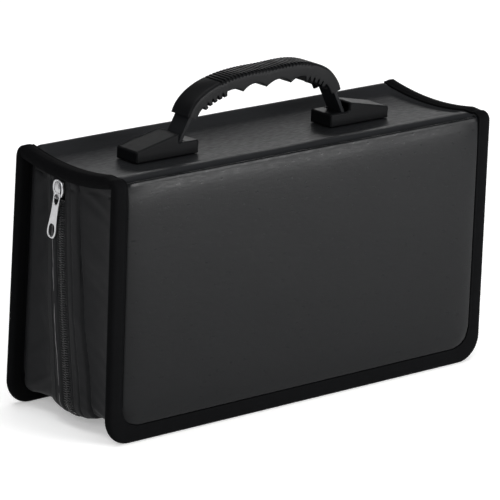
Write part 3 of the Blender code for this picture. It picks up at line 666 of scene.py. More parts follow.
def pad_height(inset):
    """How far the padded leatherette stands out at an inset from the cover's outline."""
    sunk = -SKIN_UNDER_TAPE
    lift = smooth_share((inset - PAD_START) / PAD_RISE)
    swell = 1 - math.exp(-max(inset - PAD_SWELL_START, 0) / PAD_REACH)
    return sunk + (PAD_LIP - sunk) * lift + PAD_SWELL * swell


def tape_edge_profile(side):
    """The way of the tape's inner edge across the groove; the leatherette goes under it there."""
    return smooth_curve(TAPE_EDGE_FRONT if side == FRONT else TAPE_EDGE_REAR, 4)


def along_path(path, share):
    """The point at a share of a path's list of points."""
    place = share * (len(path) - 1)
    low = min(int(place), len(path) - 2)
    return tuple(p + (q - p) * (place - low) for p, q in zip(path[low], path[low + 1]))


def face_columns(half):
    """X places across a cover or the spine, close together near both edges, the same count each time."""
    edge = [half - (inset * MM - SKIN_EDGE_INSET) for inset in EDGE_INSETS]
    count = round(CASE_LENGTH / FACE_STEP)
    inner = [edge[-1] * (2 * k / count - 1) for k in range(1, count)]
    return [-x for x in edge] + inner + edge[::-1]


def face_half_width(z):
    reach = CORNER_RADIUS - SKIN_EDGE_INSET
    below = max(CORNER_RADIUS - z, 0.0)
    return CORNER_X + math.sqrt(max(reach ** 2 - below ** 2, 0.0))


def add_cover_skin(name, side, material):
    """A cover's leatherette: out of the groove, over the padded edge and down under the tape."""
    hinge = smooth_curve(SKIN_OVER_HINGE, 3)
    face_top = hinge[-1][1]
    low = [inset * MM for inset in EDGE_INSETS]
    heights = spread(face_top, low[-1], FACE_STEP)[1:-1] + low[::-1]
    full = face_half_width(face_top)
    under_tape = tape_edge_profile(side)
    rows = []
    for k, (y, z) in enumerate(hinge):
        row = []
        tape_y, tape_z = along_path(under_tape, k / (len(hinge) - 1))
        inward = (Vector((SPINE_HALF, COVER_TOP)) - Vector((tape_y, tape_z))).normalized() * SKIN_UNDER_TAPE
        for x in face_columns(full):
            tuck = smooth_share((TUCK_START - inset_of(x, z)) / (TUCK_START - TAPE_WIDTH))
            row.append((x, side * (y + (tape_y + inward.x - y) * tuck), z + (tape_z + inward.y - z) * tuck))
        rows.append(row)
    full_height = HALF_DEPTH + lean_at(face_top) + PAD_LIP + PAD_SWELL
    drop_back = full_height - hinge[-1][0]
    for z in heights:
        row = []
        roll = drop_back * math.exp(-(face_top - z) / TOP_ROLL_REACH)
        for x in face_columns(face_half_width(z)):
            height = pad_height(inset_of(x, z) - corner_width(x, z))
            share = smooth_share((height + SKIN_UNDER_TAPE) / (SKIN_UNDER_TAPE + PAD_LIP + PAD_SWELL))
            height -= roll * (0.1 + 0.9 * share)
            height += share * SKIN_WAVE * ripple(x / SKIN_WAVE_LONG, z / SKIN_WAVE_HIGH, side)
            row.append((x, cover_y(side, -height, z), z))
        rows.append(row)
    return build_cloth(name, rows, material, SKIN_THICKNESS, face_columns(full))


def spine_profile():
    """The spine's section: the dish, a high rear rim and a low front one, and the falls into the grooves."""
    dish = [(y, spine_z(y * MM, 0) / MM) for y in (0, 6, 12, 18, 24)]
    front, rear = (smooth_curve(dish + rim, 3) for rim in (SPINE_RIM_FRONT, SPINE_RIM_REAR))
    return [(-y, z) for y, z in reversed(front[1:])] + rear


def add_spine_skin(material):
    """The spine's leatherette, tucked under the tape at both ends."""
    columns = face_columns(face_half_width(COVER_TOP))
    rows = []
    for y, z in spine_profile():
        row = []
        for x in columns:
            tuck = smooth_share((TUCK_START - CASE_LENGTH / 2 + abs(x)) / (TUCK_START - TAPE_WIDTH))
            wave = SPINE_WAVE * ripple(x / SPINE_WAVE_LONG, y / SPINE_WAVE_WIDE, 3.0) * (1 - tuck)
            under = spine_tape_z(max(-SPINE_HALF, min(y, SPINE_HALF)), 0) - SKIN_UNDER_TAPE
            under = min(under, z + SPINE_TAPE_RISE)
            row.append((x, y, z + wave + (under - z) * tuck))
        rows.append(row)
    skin = build_cloth("spine_skin", rows, material, SKIN_THICKNESS, columns)
    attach(skin, "spine")
    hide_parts("spine_panel")


# Binding tape

def tape_section(raised):
    """Section of the folded tape as inset and depth; raised is how far a rib stands out."""
    middle = EDGE_THICKNESS / 2
    leg = in_metres(TAPE_LEG)
    turns = [math.pi * k / TAPE_FOLD_STEPS for k in range(TAPE_FOLD_STEPS + 1)]
    radius = TAPE_FOLD_RADIUS + raised
    lining = middle - TAPE_THICKNESS
    centre = TAPE_FOLD_RADIUS - TAPE_BULGE
    over = [(inset, depth - raised) for inset, depth in leg]
    fold = [(centre - radius * math.sin(a), middle - radius * math.cos(a)) for a in turns]
    under = [(inset, EDGE_THICKNESS - depth + raised) for inset, depth in reversed(leg)]
    inner = [(middle - lining * math.sin(a), middle - lining * math.cos(a)) for a in reversed(turns[::3])]
    edge_near = [(TAPE_WIDTH, EDGE_THICKNESS - TAPE_THICKNESS)]
    edge_far = [(TAPE_WIDTH, TAPE_THICKNESS)]
    return over + fold + under + edge_near + inner + edge_far


def hinge_path(side, step):
    """The tape's way round the hinge: its fold, edge and inside, each as Y from the middle and Z."""
    out, up = HALF_DEPTH - SPINE_HALF, spine_tape_z(side * SPINE_HALF, 0) - COVER_TOP
    count = round(math.hypot(out, up) * ARC_PER_CHORD / step)
    edge_path = tape_edge_profile(side)
    start = (SPINE_HALF, CASE_HEIGHT - EDGE_THICKNESS)
    corner = (HALF_DEPTH - EDGE_THICKNESS, CASE_HEIGHT - EDGE_THICKNESS)
    end = (HALF_DEPTH - EDGE_THICKNESS, COVER_TOP)
    path = []
    for k in range(count):
        t = k / count
        turn = t * math.pi / 2
        fold = (SPINE_HALF + out * math.sin(turn), COVER_TOP + up * math.cos(turn))
        shares = (1 - t) ** 2, 2 * t * (1 - t), t ** 2
        inside = tuple(sum(s * p for s, p in zip(shares, way)) for way in zip(start, corner, end))
        path.append((fold, along_path(edge_path, t), inside))
    return path


def cover_tape_places(side):
    """One placing function for each station: spine end, hinge, round the cover, hinge, spine end."""
    def on_hinge(end, fold, edge, inside):
        def place(inset, depth):
            to_edge = smooth_share(inset / TAPE_WIDTH)
            outer = [p + (q - p) * to_edge for p, q in zip(fold, edge)]
            y, z = (p + (q - p) * depth / EDGE_THICKNESS for p, q in zip(outer, inside))
            return (end * (CASE_LENGTH / 2 - inset), side * y, z)
        return place

    def on_cover(station):
        wide = corner_width(*at_inset(station, TAPE_WIDTH))
        foot = max(0.0, -station[3])

        def place(inset, depth):
            inset += wide * smooth_share(inset / TAPE_WIDTH)
            if inset < 0:
                inset *= 1 - 0.1 * foot
            x, z = at_inset(station, inset)
            return (x, cover_y(side, depth, z), z)
        return place

    left = [on_hinge(LEFT, *way) for way in hinge_path(side, RIB_STEP)]
    right = [on_hinge(RIGHT, *way) for way in reversed(hinge_path(side, RIB_STEP))]
    return left + [on_cover(s) for s in edge_stations(COVER_TOP, COVER_TOP, RIB_STEP)] + right


def spine_tape_places(end):
    def on_spine(y):
        return lambda inset, depth: (end * (CASE_LENGTH / 2 - inset), y, spine_tape_z(y, depth))
    return [on_spine(y) for y in spread(-SPINE_HALF, SPINE_HALF, RIB_STEP)]


def tape_flat(places):
    """Width and length of the tape before it was folded, from its section and its run."""
    outside = tape_section(0.0)[:2 * len(TAPE_LEG) + TAPE_FOLD_STEPS + 1]
    width = lengths([(inset, depth, 0) for inset, depth in outside])[-1]
    run = lengths([place(EDGE_THICKNESS / 2, EDGE_THICKNESS / 2) for place in places])[-1]
    return width, run


def add_stitches(name, places, depths, material):
    """Threads along the tape's stitch line; each dips into the tape at both ends."""
    parts = Parts()
    for depth, lift in depths:
        line = [Vector(place(STITCH_INSET, depth)) for place in places]
        beyond = [Vector(place(STITCH_INSET, depth + lift)) for place in places]
        along = lengths(line)
        count = int(along[-1] / STITCH_PITCH)
        for k in range(count):
            add_thread(parts, line, beyond, along, (k + STITCH_LEAD) * along[-1] / count)
    return parts.build(name, material)


def point_along(points, along, distance):
    """The point at a distance along a row of points whose own distances are in along."""
    low, high = 0, len(along) - 1
    while high - low > 1:
        middle = (low + high) // 2
        if along[middle] <= distance:
            low = middle
        else:
            high = middle
    share = (distance - along[low]) / max(along[high] - along[low], NEXT_TO_NOTHING)
    return points[low].lerp(points[high], min(max(share, 0.0), 1.0))


def add_thread(parts, line, beyond, along, begin):
    """One stitch: a short thread that arches over the tape and thins towards its two holes."""
    rings = []
    for t in (0.0, 0.12, 0.35, 0.65, 0.88, 1.0):
        place = begin + STITCH_LENGTH * t
        middle = point_along(line, along, place)
        up = (point_along(beyond, along, place) - middle).normalized()
        near, far = (point_along(line, along, place + reach) for reach in (-0.3 * MM, 0.3 * MM))
        across = up.cross((far - near).normalized())
        arch = math.sin(math.pi * t)
        centre = middle + up * (arch * 0.9 - 0.5) * THREAD_RADIUS
        rings.append(round_ring(centre, across, up, THREAD_RADIUS * (0.55 + 0.45 * arch)))
    parts.add_sweep(rings)


def add_tape(name, places, material):
    """The folded tape: one ring at each place, every second one raised as a rib."""
    sections = tape_section(0.0), tape_section(RIB_HEIGHT)
    rings = [[place(*point) for point in sections[k % 2]] for k, place in enumerate(places)]
    return build_swept(name, rings, material, 50)


def add_bindings(tape_material, thread_material):
    """The tape round both covers and over the spine's ends, each with a stitch line on both faces."""
    outside, inside = (STITCH_DEPTH, -MM), (EDGE_THICKNESS - STITCH_DEPTH, MM)
    for prefix, side in HALVES:
        places = cover_tape_places(side)
        tape = add_tape(prefix + "_binding_tape", places, tape_material)
        bend_over_hinge(tape, side, *TAPE_BEND)
        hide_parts(prefix + "_binding")
        tape_flat(places)
        around = [p for p in places if p(0, 0)[2] < COVER_TOP - STITCH_PITCH]
        stitches = add_stitches(prefix + "_binding_stitches", around, (outside, inside), thread_material)
        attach(stitches, prefix + "_half")
    for word, end in ENDS:
        places = spine_tape_places(end)
        tape = add_tape("spine_tape_" + word, places, tape_material)
        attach(tape, "spine")
        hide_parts("spine_binding_" + word)
        tape_flat(places)
        stitches = add_stitches("spine_stitches_" + word, places, (outside, inside), thread_material)
        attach(stitches, "spine")


def bend_over_hinge(item, side, start, end):
    """Bakes the piece's placing into its points; it does not bend the piece. Its start and end, each as (y,
    z), are not used.
    """
    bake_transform(item)


# Gusset cloth

def zip_y(x, z):
    """Y of the zip's line: it slants and bows on the left end and runs in the middle elsewhere."""
    share = (max(z, CORNER_RADIUS) - CORNER_RADIUS) / (ZIP_HIGH_Z - CORNER_RADIUS)
    on_left = ZIP_LOW_Y + (ZIP_HIGH_Y - ZIP_LOW_Y) * share
    on_left += ZIP_BOW * math.sin(math.pi * min(share, 1.0))
    return on_left * smooth_share(-x / CORNER_X)


def groove(distance, width):
    """Depth of a stitched line, 1 on it and falling to 0 beside it."""
    return math.exp(-(distance / width) ** 2)


def cloth_inset(side, x, z, y, share, along):
    """How far in from the case's edge the gusset cloth lies: hems, sag and wrinkles."""
    from_zip = side * (y - zip_y(x, z))
    low = 1 - smooth_share((z - HEM_SPREAD_LOW) / HEM_SPREAD_REACH)
    spreading = 1 + (HEM_SPREAD - 1) * low * 0.5
    inset = GUSSET_INSET + GUSSET_SINK + SAG_DEPTH * math.sin(math.pi * min(share * 1.15, 1.0)) ** 1.2
    inset -= HEM_LIFT * smooth_share((HEM_SECOND * spreading - from_zip) / HEM_STEP)
    for place, depth, width in ((HEM_FIRST, 1.0 * MM, 0.45 * MM), (HEM_SECOND, 1.1 * MM, 0.5 * MM)):
        inset += depth * groove(from_zip - place * spreading, width)
    from_cover = HALF_DEPTH + lean_at(z) - EDGE_THICKNESS - side * y
    inset += RECESS_DEPTH * groove(max(from_cover, 0.0), RECESS_WIDTH)
    inset += HEM_LIFT * groove(from_zip - GUSSET_TO_ZIP, SEAM_WIDTH)
    if abs(x) > CORNER_X:
        inset += TOP_SEAM_DEPTH * groove(z - TOP_SEAM_Z - TOP_SEAM_SLOPE * abs(y), SEAM_WIDTH)
    free = math.sin(math.pi * share)
    wide = ripple(along / WIDE_FOLD, share * 1.3, side, 1.7)
    fine = ripple(along / FINE_FOLD, share * 2.2, side, 5.1)
    drawn = ripple((along + DRAWN_SLANT * share) / DRAWN_FOLD, share * 0.7, side, 9.3)
    top = smooth_share((z - CREASED_TOP) / CREASED_TOP_REACH)
    corner = groove(z - CREASED_FOOT, CREASED_FOOT_REACH) if abs(x) > CORNER_X - CREASED_FOOT else 0.0
    inset += free * (WIDE_FOLD_DEPTH * wide + FINE_FOLD_DEPTH * fine)
    inset += free * (0.3 + 1.1 * top + 1.2 * corner) * FINE_FOLD_DEPTH * drawn
    return inset


def gusset_point(side, station, share, along):
    """A point of the cloth at a share of its way from the cover to the zip.

    The cloth's top edge follows the spine's dish, so its height and Y are found in three rounds.
    """
    y_near = HALF_DEPTH - EDGE_THICKNESS + GUSSET_UNDER_COVER
    x, z, out_x, out_z = station
    for _ in range(3):
        edge_x, edge_z = at_inset((x, z, out_x, out_z), GUSSET_INSET)
        near = side * (y_near + lean_at(edge_z))
        far = zip_y(edge_x, edge_z) + side * (GUSSET_TO_ZIP - GUSSET_OVER_ZIP)
        y = near + (far - near) * share
        if out_z == 0.0:
            top = spine_z(min(abs(y), SPINE_HALF), EDGE_THICKNESS) - GUSSET_TOP_GAP
            squeeze = (top - CORNER_RADIUS) / (COVER_TOP - CORNER_RADIUS)
            z = CORNER_RADIUS + (station[1] - CORNER_RADIUS) * squeeze
    inset = cloth_inset(side, edge_x, edge_z, y, share, along)
    px, pz = at_inset((x, z, out_x, out_z), inset)
    return (px, y, pz)


def outline_lengths(stations):
    """Distance along the cloth's line up to each station."""
    return lengths([(*at_inset(s, GUSSET_INSET), 0) for s in stations])


def add_gusset(prefix, side, material):
    """One half's cloth wall, from under the cover's edge to beside the zip, all round the open outline."""
    stations = edge_stations(COVER_TOP, COVER_TOP, GUSSET_STEP)
    along = outline_lengths(stations)
    shares = [k / GUSSET_ACROSS for k in range(GUSSET_ACROSS + 1)]
    rows = [[gusset_point(side, s, share, d) for share in shares] for s, d in zip(stations, along)]
    cloth = build_cloth(prefix + "_gusset_cloth", rows, material, CLOTH_THICKNESS)
    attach(cloth, prefix + "_half")
    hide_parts(prefix + "_gusset")
    width = lengths(rows[len(rows) // 4])[-1]


def add_selvedge(material):
    """The zip tape's pale edge thread that shows beside the coil on the rear half."""
    stations = edge_stations(COIL_TOP_LEFT - 3 * MM, SELVEDGE_END, SELVEDGE_STEP)
    along = outline_lengths(edge_stations(COVER_TOP, COVER_TOP, SELVEDGE_STEP))
    rings = []
    for k, station in enumerate(stations):
        x, z = at_inset(station, GUSSET_INSET)
        offset = SELVEDGE_OFFSET + SELVEDGE_WANDER * ripple(k * 0.35, 0.0, 0.0, 2.2)
        inset = cloth_inset(REAR, x, z, zip_y(x, z) + offset, 0.93, along[k]) - SELVEDGE_PROUD
        x, z = at_inset(station, inset)
        radius = THREAD_RADIUS * (0.8 + 0.6 * ripple(k * 0.5, 1.0, 0.0, 4.4))
        out = Vector((station[2], 0, station[3]))
        rings.append(round_ring(Vector((x, zip_y(x, z) + offset, z)), Vector((0, 1, 0)), out, radius))
    thread = build_swept("rear_selvedge_thread", rings, material)
    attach(thread, "rear_half")


# Zip teeth

def beside_zip(station, side, away, inset):
    """A point on one half at a distance from the zip's line and an inset, both in millimetres."""
    x, z = at_inset(station, inset * MM)
    return Vector((x, zip_y(x, z) + side * away * MM, z))


def add_teeth(prefix, side, material):
    """Moulded coil loops on one half: each rises from the tape, crosses and dips at its head."""
    stations = edge_stations(COIL_TOP_LEFT, COIL_TOP_RIGHT, TOOTH_PITCH / 2)
    parts = Parts()
    for station in stations[0 if side == FRONT else 1::2]:
        along = Vector((-station[3], 0, station[2]))
        centres = [beside_zip(station, side, away, inset) for away, inset, _ in TOOTH_PATH]
        rings = []
        for before, centre, after, (_, _, share) in zip(centres[:1] + centres, centres,
                                                        centres[1:] + centres[-1:], TOOTH_PATH):
            across = (after - before).normalized().cross(along).normalized()
            rings.append(round_ring(centre, across, along, TOOTH_RADIUS * share))
        parts.add_sweep(rings)
    parts.add_sweep([[tuple(beside_zip(s, side, *corner)) for corner in COIL_CORE] for s in stations])
    teeth = parts.build(prefix + "_zip_teeth", material, 40)
    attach(teeth, prefix + "_half")
    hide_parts(prefix + "_zip_coil")


# Slider and pull

def add_plate(name, outline, holes, place, across, along, thickness, edge, material):
    """A flat plate with rounded rims from closed outlines of (across, along) pairs."""
    curve = bpy.data.curves.new(name, "CURVE")
    curve.dimensions = "2D"
    curve.fill_mode = "BOTH"
    curve.extrude = thickness / 2 - edge
    curve.bevel_depth = edge
    curve.bevel_resolution = 3
    curve.offset = -edge
    for loop in [outline] + holes:
        spline = curve.splines.new("POLY")
        spline.points.add(len(loop) - 1)
        for point, (a, b) in zip(spline.points, loop):
            point.co = (a, b, 0, 1)
        spline.use_cyclic_u = True
    curve.materials.append(material)
    plate = add_to_scene(name, curve)
    turned = Matrix((across, along, across.cross(along))).transposed().to_4x4()
    plate.matrix_world = Matrix.Translation(place) @ turned
    return plate


def mirrored(half):
    """A smooth closed outline from its right half, top to bottom, in millimetres."""
    return smooth_loop(half + [(-a, b) for a, b in reversed(half) if a > 0])


def add_round_rim(name, path, radius, material):
    """A round bar bent along points that lie in one plane, until it meets itself."""
    rings = []
    for before, place, after in zip(path[-1:] + path, path + path[:1], path[1:] + path[:2]):
        ahead = (after - before).normalized()
        side = ahead.cross(Vector((1, 0, 0))).normalized()
        rings.append(round_ring(place, side, side.cross(ahead), radius, 8))
    return build_swept(name, rings, material, 60)


def add_slider(nickel):
    """Slider: a domed plate with a raised egg-shaped rim, the bail over it and the back plate."""
    down = Vector((0, -ZIP_SLOPE, -1)).normalized()
    across = Vector((0, -down.z, down.y))
    face, back = mirrored(SLIDER_FACE), mirrored(SLIDER_BACK)

    def at(inset, a, d):
        point = SLIDER_MIDDLE + across * a + down * d
        return Vector((inset - CASE_LENGTH / 2, point.y, point.z))

    def block(outline, low, high):
        """Two rings for a straight block between two insets."""
        return [[tuple(at(inset, a, d)) for a, d in in_metres(outline)] for inset in (low, high)]

    plates = []
    for name, outline, inset, thickness in (("slider_face", face, 4.15 * MM, 1.0 * MM),
                                            ("slider_back", back, 9.1 * MM, 0.9 * MM)):
        plates.append(add_plate(name, outline, [], at(inset, 0, 0), across, down, thickness, 0.3 * MM,
                                nickel))
    rim = [at(3.55 * MM, a * 0.84, d * 0.88) for a, d in face]
    plates.append(add_round_rim("slider_rim", rim, 0.85 * MM, nickel))
    rings = []
    for before, (inset, d, half), after in zip(BAIL[:1] + BAIL, BAIL, BAIL[1:] + BAIL[-1:]):
        ahead = Vector((after[0] - before[0], after[1] - before[1])).normalized() * BAIL_HALF_THICKNESS
        corners = [(-half, 1), (-half * 0.8, -1), (half * 0.8, -1), (half, 1)]
        rings.append([tuple(at((inset + sign * ahead.y) * MM, a * MM, (d - sign * ahead.x) * MM))
                      for a, sign in corners])
    plates.append(build_swept("slider_bail", rings, nickel, 50))
    post = Parts()
    post.add_sweep(block(SLIDER_POST, 4.2 * MM, 9.1 * MM))
    for sign in (-1, 1):
        post.add_sweep(block([(sign * a, d) for a, d in SLIDER_LIP], 4.3 * MM, 7 * MM))
    plates.append(post.build("slider_post", nickel))
    for plate in plates:
        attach(plate, "slider")
        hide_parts("zip_slider")


def add_pull(nickel):
    """Pull tab: a stamped plate with a drop-shaped eye and a long oval hole."""
    down = Vector((0, math.sin(PULL_SWING), -math.cos(PULL_SWING)))
    across = Vector((0, math.cos(PULL_SWING), math.sin(PULL_SWING)))
    outline, eye, hole = (mirrored(half) for half in (PULL_OUTLINE, PULL_EYE, PULL_HOLE))
    pull = add_plate("pull_tab", outline, [eye, hole], PULL_HINGE, across, down, 1.2 * MM, 0.35 * MM, nickel)
    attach(pull, "pull")
    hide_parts("zip_pull")


# Handle grip

def grip_top(x):
    """Height of the grip's back over the spine: an arch, fuller on the right."""
    reach = min(abs(x) / GRIP_HALF_SPAN, 0.99999)
    rise = GRIP_CROWN - GRIP_ARC_FOOT
    top = GRIP_ARC_FOOT + rise * (1 - reach ** GRIP_ARC_POWER) ** (1 / GRIP_ARC_POWER)
    fall = 1 - RIGHT_FALL * smooth_share((x - RIGHT_FALL_START) / RIGHT_FALL_REACH)
    return top + RIGHT_SWELL * smooth_share(x / RIGHT_SWELL_REACH) * fall


def grip_frame(x):
    """The point on the grip's back at X and the way into the grip there, both as X and Z."""
    step = 0.05 * MM
    slope = (grip_top(x + step) - grip_top(x - step)) / (2 * step)
    return Vector((x, CASE_HEIGHT + grip_top(x))), Vector((slope, -1.0)).normalized()


def grip_depth(x):
    """The grip's thickness: its taper, the finger hollows and the short teeth beside them."""
    away = abs(x)
    taper = GRIP_THICKNESS + (GRIP_END_THICKNESS - GRIP_THICKNESS) * away / GRIP_END
    if away < GRIP_END:
        taper += RIGHT_THICKER * smooth_share(x / RIGHT_SWELL_REACH)
    if away < FINGER_COUNT / 2 * FINGER_PITCH:
        place = (away / FINGER_PITCH) % 1.0
        return taper + FINGER_DEPTH * (2 * place - 1) ** 2
    tooth = (away - TOOTH_FIRST) / GRIP_TOOTH_PITCH
    nearest = round(tooth)
    if 0 <= nearest < GRIP_TOOTH_COUNT:
        share = smooth_share((GRIP_TOOTH_HALF - abs(tooth - nearest)) / GRIP_TOOTH_SLOPE)
        return taper + GRIP_TOOTH_DEPTH * share
    return taper


def rib_dip(x):
    """Depth of the groove between two cross ribs at X."""
    if abs(x) > RIB_SPAN / 2:
        return 0.0
    phase = (x + RIB_SPAN / 2) / RIB_SPAN * RIB_COUNT % 1.0
    return RIB_DEPTH * smooth_share((RIB_GROOVE_HALF - abs(phase - 0.5)) / RIB_GROOVE_SLOPE)


def grip_ring(x):
    """One section of the grip: rounded top edges, flat sides and the strap's channel at the ends."""
    top, inward = grip_frame(x)
    half = GRIP_WIDTH / 2
    dip = rib_dip(x)
    depth = grip_depth(x)
    turns = [(math.sin(a), math.cos(a)) for a in (math.pi / 2 * k / 5 for k in range(6))]
    upper = [(half - GRIP_TOP_ROUND * (1 - s), GRIP_TOP_ROUND * (1 - c) + dip * c ** 0.5) for s, c in turns]
    lower = [(half - GRIP_LOW_ROUND * (1 - c), depth - GRIP_LOW_ROUND * (1 - s)) for s, c in turns]
    channel = smooth_share((abs(x) - CHANNEL_START) / CHANNEL_RAMP) * (depth - CHANNEL_ROOF) + CHANNEL_LEAST
    slot = [(CHANNEL_HALF, depth), (CHANNEL_HALF, depth - channel)]
    flat = depth - GRIP_LOW_ROUND - GRIP_TOP_ROUND
    side = [(half, GRIP_TOP_ROUND + flat * t) for t in (0.33, 0.66)]
    right = [(0.0, dip)] + upper + side + lower + slot
    section = right + [(-y, down) for y, down in reversed(right[1:])]
    points = [(y, top + inward * down) for y, down in section]
    return [(HANDLE_X + point.x, y, point.y) for y, point in points]


def add_grip(plastic):
    """The grip as one swept body between its straps."""
    rings = [grip_ring(x) for x in spread(-GRIP_END, GRIP_END, GRIP_STEP)]
    grip = build_swept("grip_body", rings, plastic, 40)
    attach(grip, "handle")
    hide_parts("handle_grip")


def soften(node, width):
    """Small rounded edges on a piece that keeps its own shape."""
    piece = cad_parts[node]
    joined = piece.modifiers.new("joined_corners", "WELD")
    joined.merge_threshold = 0.01 * MM
    bevel = piece.modifiers.new("soft_edges", "BEVEL")
    bevel.width = width
    bevel.segments = 3
    bevel.limit_method = "ANGLE"
    bevel.angle_limit = math.radians(30)
    bevel.harden_normals = True
    bevel.use_clamp_overlap = False


# Sleeves

def leaf_point(x, down, bend, bulge_side, lift):
    """A point of a hanging sleeve: it bends sideways a little towards its free edge."""
    y = bend * (down / LEAF_HEIGHT) ** 2
    y += LEAF_WAVE * ripple(x / LEAF_WAVE_LONG, down / LEAF_WAVE_HIGH, bend / MM) * down / LEAF_HEIGHT
    return (x, y + bulge_side * lift, LEAF_TOP - down)


def leaf_relief(x, down):
    """Half thickness of a sleeve: welded flat at its seams, swelling over each disc."""
    pocket_x = abs(x) - LEAF_LENGTH / 4
    edge = min(LEAF_LENGTH / 4 - abs(pocket_x), LEAF_HEIGHT - down, abs(x))
    page = smooth_share(edge / LEAF_SEAM)
    away = math.hypot(pocket_x, down - LEAF_HEIGHT / 2)
    disc = smooth_share((DISC_RADIUS + DISC_ROOM - away) / DISC_EDGE)
    return LEAF_HALF_THICKNESS * (SEAM_SHARE + PAGE_SHARE * page + DISC_SHARE * disc)


def add_leaf(k, film):
    """One sleeve leaf; its free lower corners are rounded and it splays with its place in the stack."""
    share = (k + 0.5) / LEAF_COUNT * 2 - 1
    base_y = share * (LEAF_STACK / 2 - LEAF_HALF_THICKNESS)
    columns = spread(-LEAF_LENGTH / 2, LEAF_LENGTH / 2, LEAF_STEP)
    heights = spread(0, LEAF_HEIGHT, LEAF_STEP)
    rings = []
    for down in heights:
        near_end = max(0.0, down - (LEAF_HEIGHT - LEAF_CORNER))
        pinch = LEAF_CORNER - math.sqrt(max(LEAF_CORNER ** 2 - near_end ** 2, 0.0))
        squeeze = 1 - 2 * pinch / LEAF_LENGTH
        around = [(x, -1) for x in columns] + [(x, 1) for x in reversed(columns)]
        ring = [leaf_point(x * squeeze, down, share * LEAF_SPLAY, way, leaf_relief(x, down))
                for x, way in around]
        rings.append([(x, y + base_y, z) for x, y, z in ring])
    leaf = build_swept(f"sleeve_leaf_{k + 1:02d}", rings, film, 50)
    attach(leaf, "spine")
    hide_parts("sleeve_block")


# Dressing the rest, floor, light and camera

def add_floor():
    """A white floor; seen straight on or in metal it also gives a little light of its own."""
    mesh = bpy.data.meshes.new("floor")
    size = FLOOR_HALF
    corners = [(-size, -size), (size, -size), (size, size), (-size, size)]
    mesh.from_pydata([(x, y, -TAPE_BULGE) for x, y in corners], [], [(0, 1, 2, 3)])
    floor = add_to_scene("floor", mesh)
    look = Look("floor", FLOOR_COLOUR, 0.9, specular=0.1)
    path = look.tree.nodes.new("ShaderNodeLightPath")
    seen = look.math("MAXIMUM", path.outputs["Is Camera Ray"], path.outputs["Is Glossy Ray"])
    seen = look.math("MAXIMUM", seen, path.outputs["Is Transmission Ray"])
    glow = look.math("MULTIPLY", seen, FLOOR_GLOW)
    look.shader.inputs["Emission Color"].default_value = (1, 1, 1, 1)
    look.tree.links.new(glow, look.shader.inputs["Emission Strength"])
    mesh.materials.append(look.material)


def add_light(name, place, target, size, power):
    data = bpy.data.lights.new(name, "AREA")
    data.shape = "RECTANGLE"
    data.size, data.size_y = size
    data.energy = power
    lamp = add_to_scene(name, data)
    lamp.visible_camera = False
    lamp.location = place
    lamp.rotation_euler = (Vector(target) - Vector(place)).to_track_quat("-Z", "Y").to_euler()


def add_world():
    """Even white light from all round, weaker from below than from above."""
    world = bpy.data.worlds.new("studio")
    world.use_nodes = True
    tree = world.node_tree
    background = tree.nodes["Background"]
    background.inputs["Color"].default_value = (1, 1, 1, 1)
    way = tree.nodes.new("ShaderNodeTexCoord")
    height = tree.nodes.new("ShaderNodeSeparateXYZ")
    level = tree.nodes.new("ShaderNodeMapRange")
    level.inputs["From Min"].default_value = 0.1
    level.inputs["To Min"].default_value = ROOM_LIGHT_LOW
    level.inputs["To Max"].default_value = ROOM_LIGHT_HIGH
    tree.links.new(way.outputs["Generated"], height.inputs["Vector"])
    tree.links.new(height.outputs["Z"], level.inputs["Value"])
    tree.links.new(level.outputs["Result"], background.inputs["Strength"])
    bpy.context.scene.world = world


def add_camera():
    """The photo's view: its direction, tilt and distance, and the picture's own middle."""
    data = bpy.data.cameras.new("camera")
    data.sensor_width = SENSOR_WIDTH
    data.lens = FOCAL_PIXELS * data.sensor_width / IMAGE_WIDTH
    data.shift_x = (IMAGE_WIDTH / 2 - MIDDLE_PIXEL[0]) / IMAGE_WIDTH
    data.shift_y = (MIDDLE_PIXEL[1] - IMAGE_WIDTH / 2) / IMAGE_WIDTH
    back = Vector((math.sin(AZIMUTH) * math.cos(ELEVATION), -math.cos(AZIMUTH) * math.cos(ELEVATION),
                   math.sin(ELEVATION)))
    right = (-back).cross(Vector((0, 0, 1))).normalized()
    up = right.cross(-back)
    turned = right * math.cos(ROLL) + up * math.sin(ROLL)
    tilted = up * math.cos(ROLL) - right * math.sin(ROLL)
    place = Matrix.Translation(CAMERA_TARGET + back * CAMERA_DISTANCE)
    camera = add_to_scene("camera", data)
    camera.matrix_world = place @ Matrix((turned, tilted, back)).transposed().to_4x4()
    bpy.context.scene.camera = camera


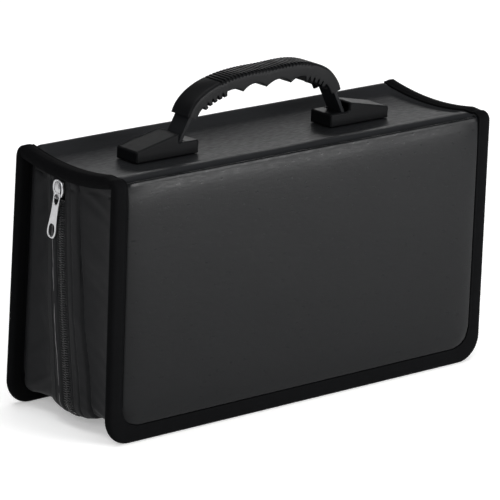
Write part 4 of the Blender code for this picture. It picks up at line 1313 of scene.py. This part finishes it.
def add_covers(leather):
    """Both padded covers; each skin bends in the groove beside the spine."""
    for prefix, side in HALVES:
        skin = add_cover_skin(prefix + "_skin", side, leather)
        bend_over_hinge(skin, side, *SKIN_BEND)
        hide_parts(prefix + "_cover")


def dress_frame(looks):
    """Materials for the pieces that keep their own shape."""
    for node, look in looks.items():
        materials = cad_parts[node].data.materials
        materials.clear()
        materials.append(look)


def main():
    # Painted light: one leatherette in a darker copy for the covers' upright faces and a lighter copy for
    # the spine's top
    leather = leatherette("leatherette", LEATHER, 0.33, 0.11)
    spine_leather = leatherette("spine_leatherette", SPINE_LEATHER_PAINTED_LIGHTER, 0.48, 0.06)
    tape = ribbed_tape("binding_tape", TAPE)
    thread = ribbed_tape("thread", THREAD)
    cloth = woven_cloth("gusset_cloth", CLOTH, 0.55 * MM)
    lining = woven_cloth("lining_cloth", LINING, 0.5 * MM, space="Object")
    zip_cloth = woven_cloth("zip_tape_cloth", TAPE, 0.8 * MM, 0.75, space="Object")
    pale_thread = ribbed_tape("selvedge_thread", PALE_THREAD)
    coil = moulded_plastic("coil_nylon", NYLON, 0.24, 0.45)
    strap_plastic = moulded_plastic("strap_plastic", STRAP, 0.45)
    plastic = moulded_plastic("handle_plastic", PLASTIC, 0.42)
    nickel = metal("nickel", NICKEL, 0.28)
    steel = metal("steel", STEEL, 0.38)
    film = sleeve_film("sleeve_film", FILM)

    add_covers(leather)
    add_spine_skin(spine_leather)
    add_bindings(tape, thread)
    for prefix, side in HALVES:
        add_gusset(prefix, side, cloth)
        add_teeth(prefix, side, coil)
    add_selvedge(pale_thread)

    looks = {"front_zip_tape": zip_cloth, "rear_zip_tape": zip_cloth, "front_lining": lining,
             "rear_lining": lining, "sleeve_strip": lining}
    add_slider(nickel)
    add_pull(nickel)
    add_grip(plastic)
    for k in range(LEAF_COUNT):
        add_leaf(k, film)
    for word, _ in ENDS:
        soften(word + "_strap", 0.6 * MM)
        soften(word + "_handle_base", 0.8 * MM)
        looks[word + "_strap"] = strap_plastic
        looks[word + "_handle_base"] = plastic
        looks[word + "_backing_plate"] = steel
        looks[word + "_base_screw_1"] = steel
        looks[word + "_base_screw_2"] = steel
    dress_frame(looks)

    bpy.context.scene.view_settings.view_transform = "Standard"
    add_floor()
    add_world()
    for light in LIGHTS:
        add_light(*light)
    add_camera()


main()
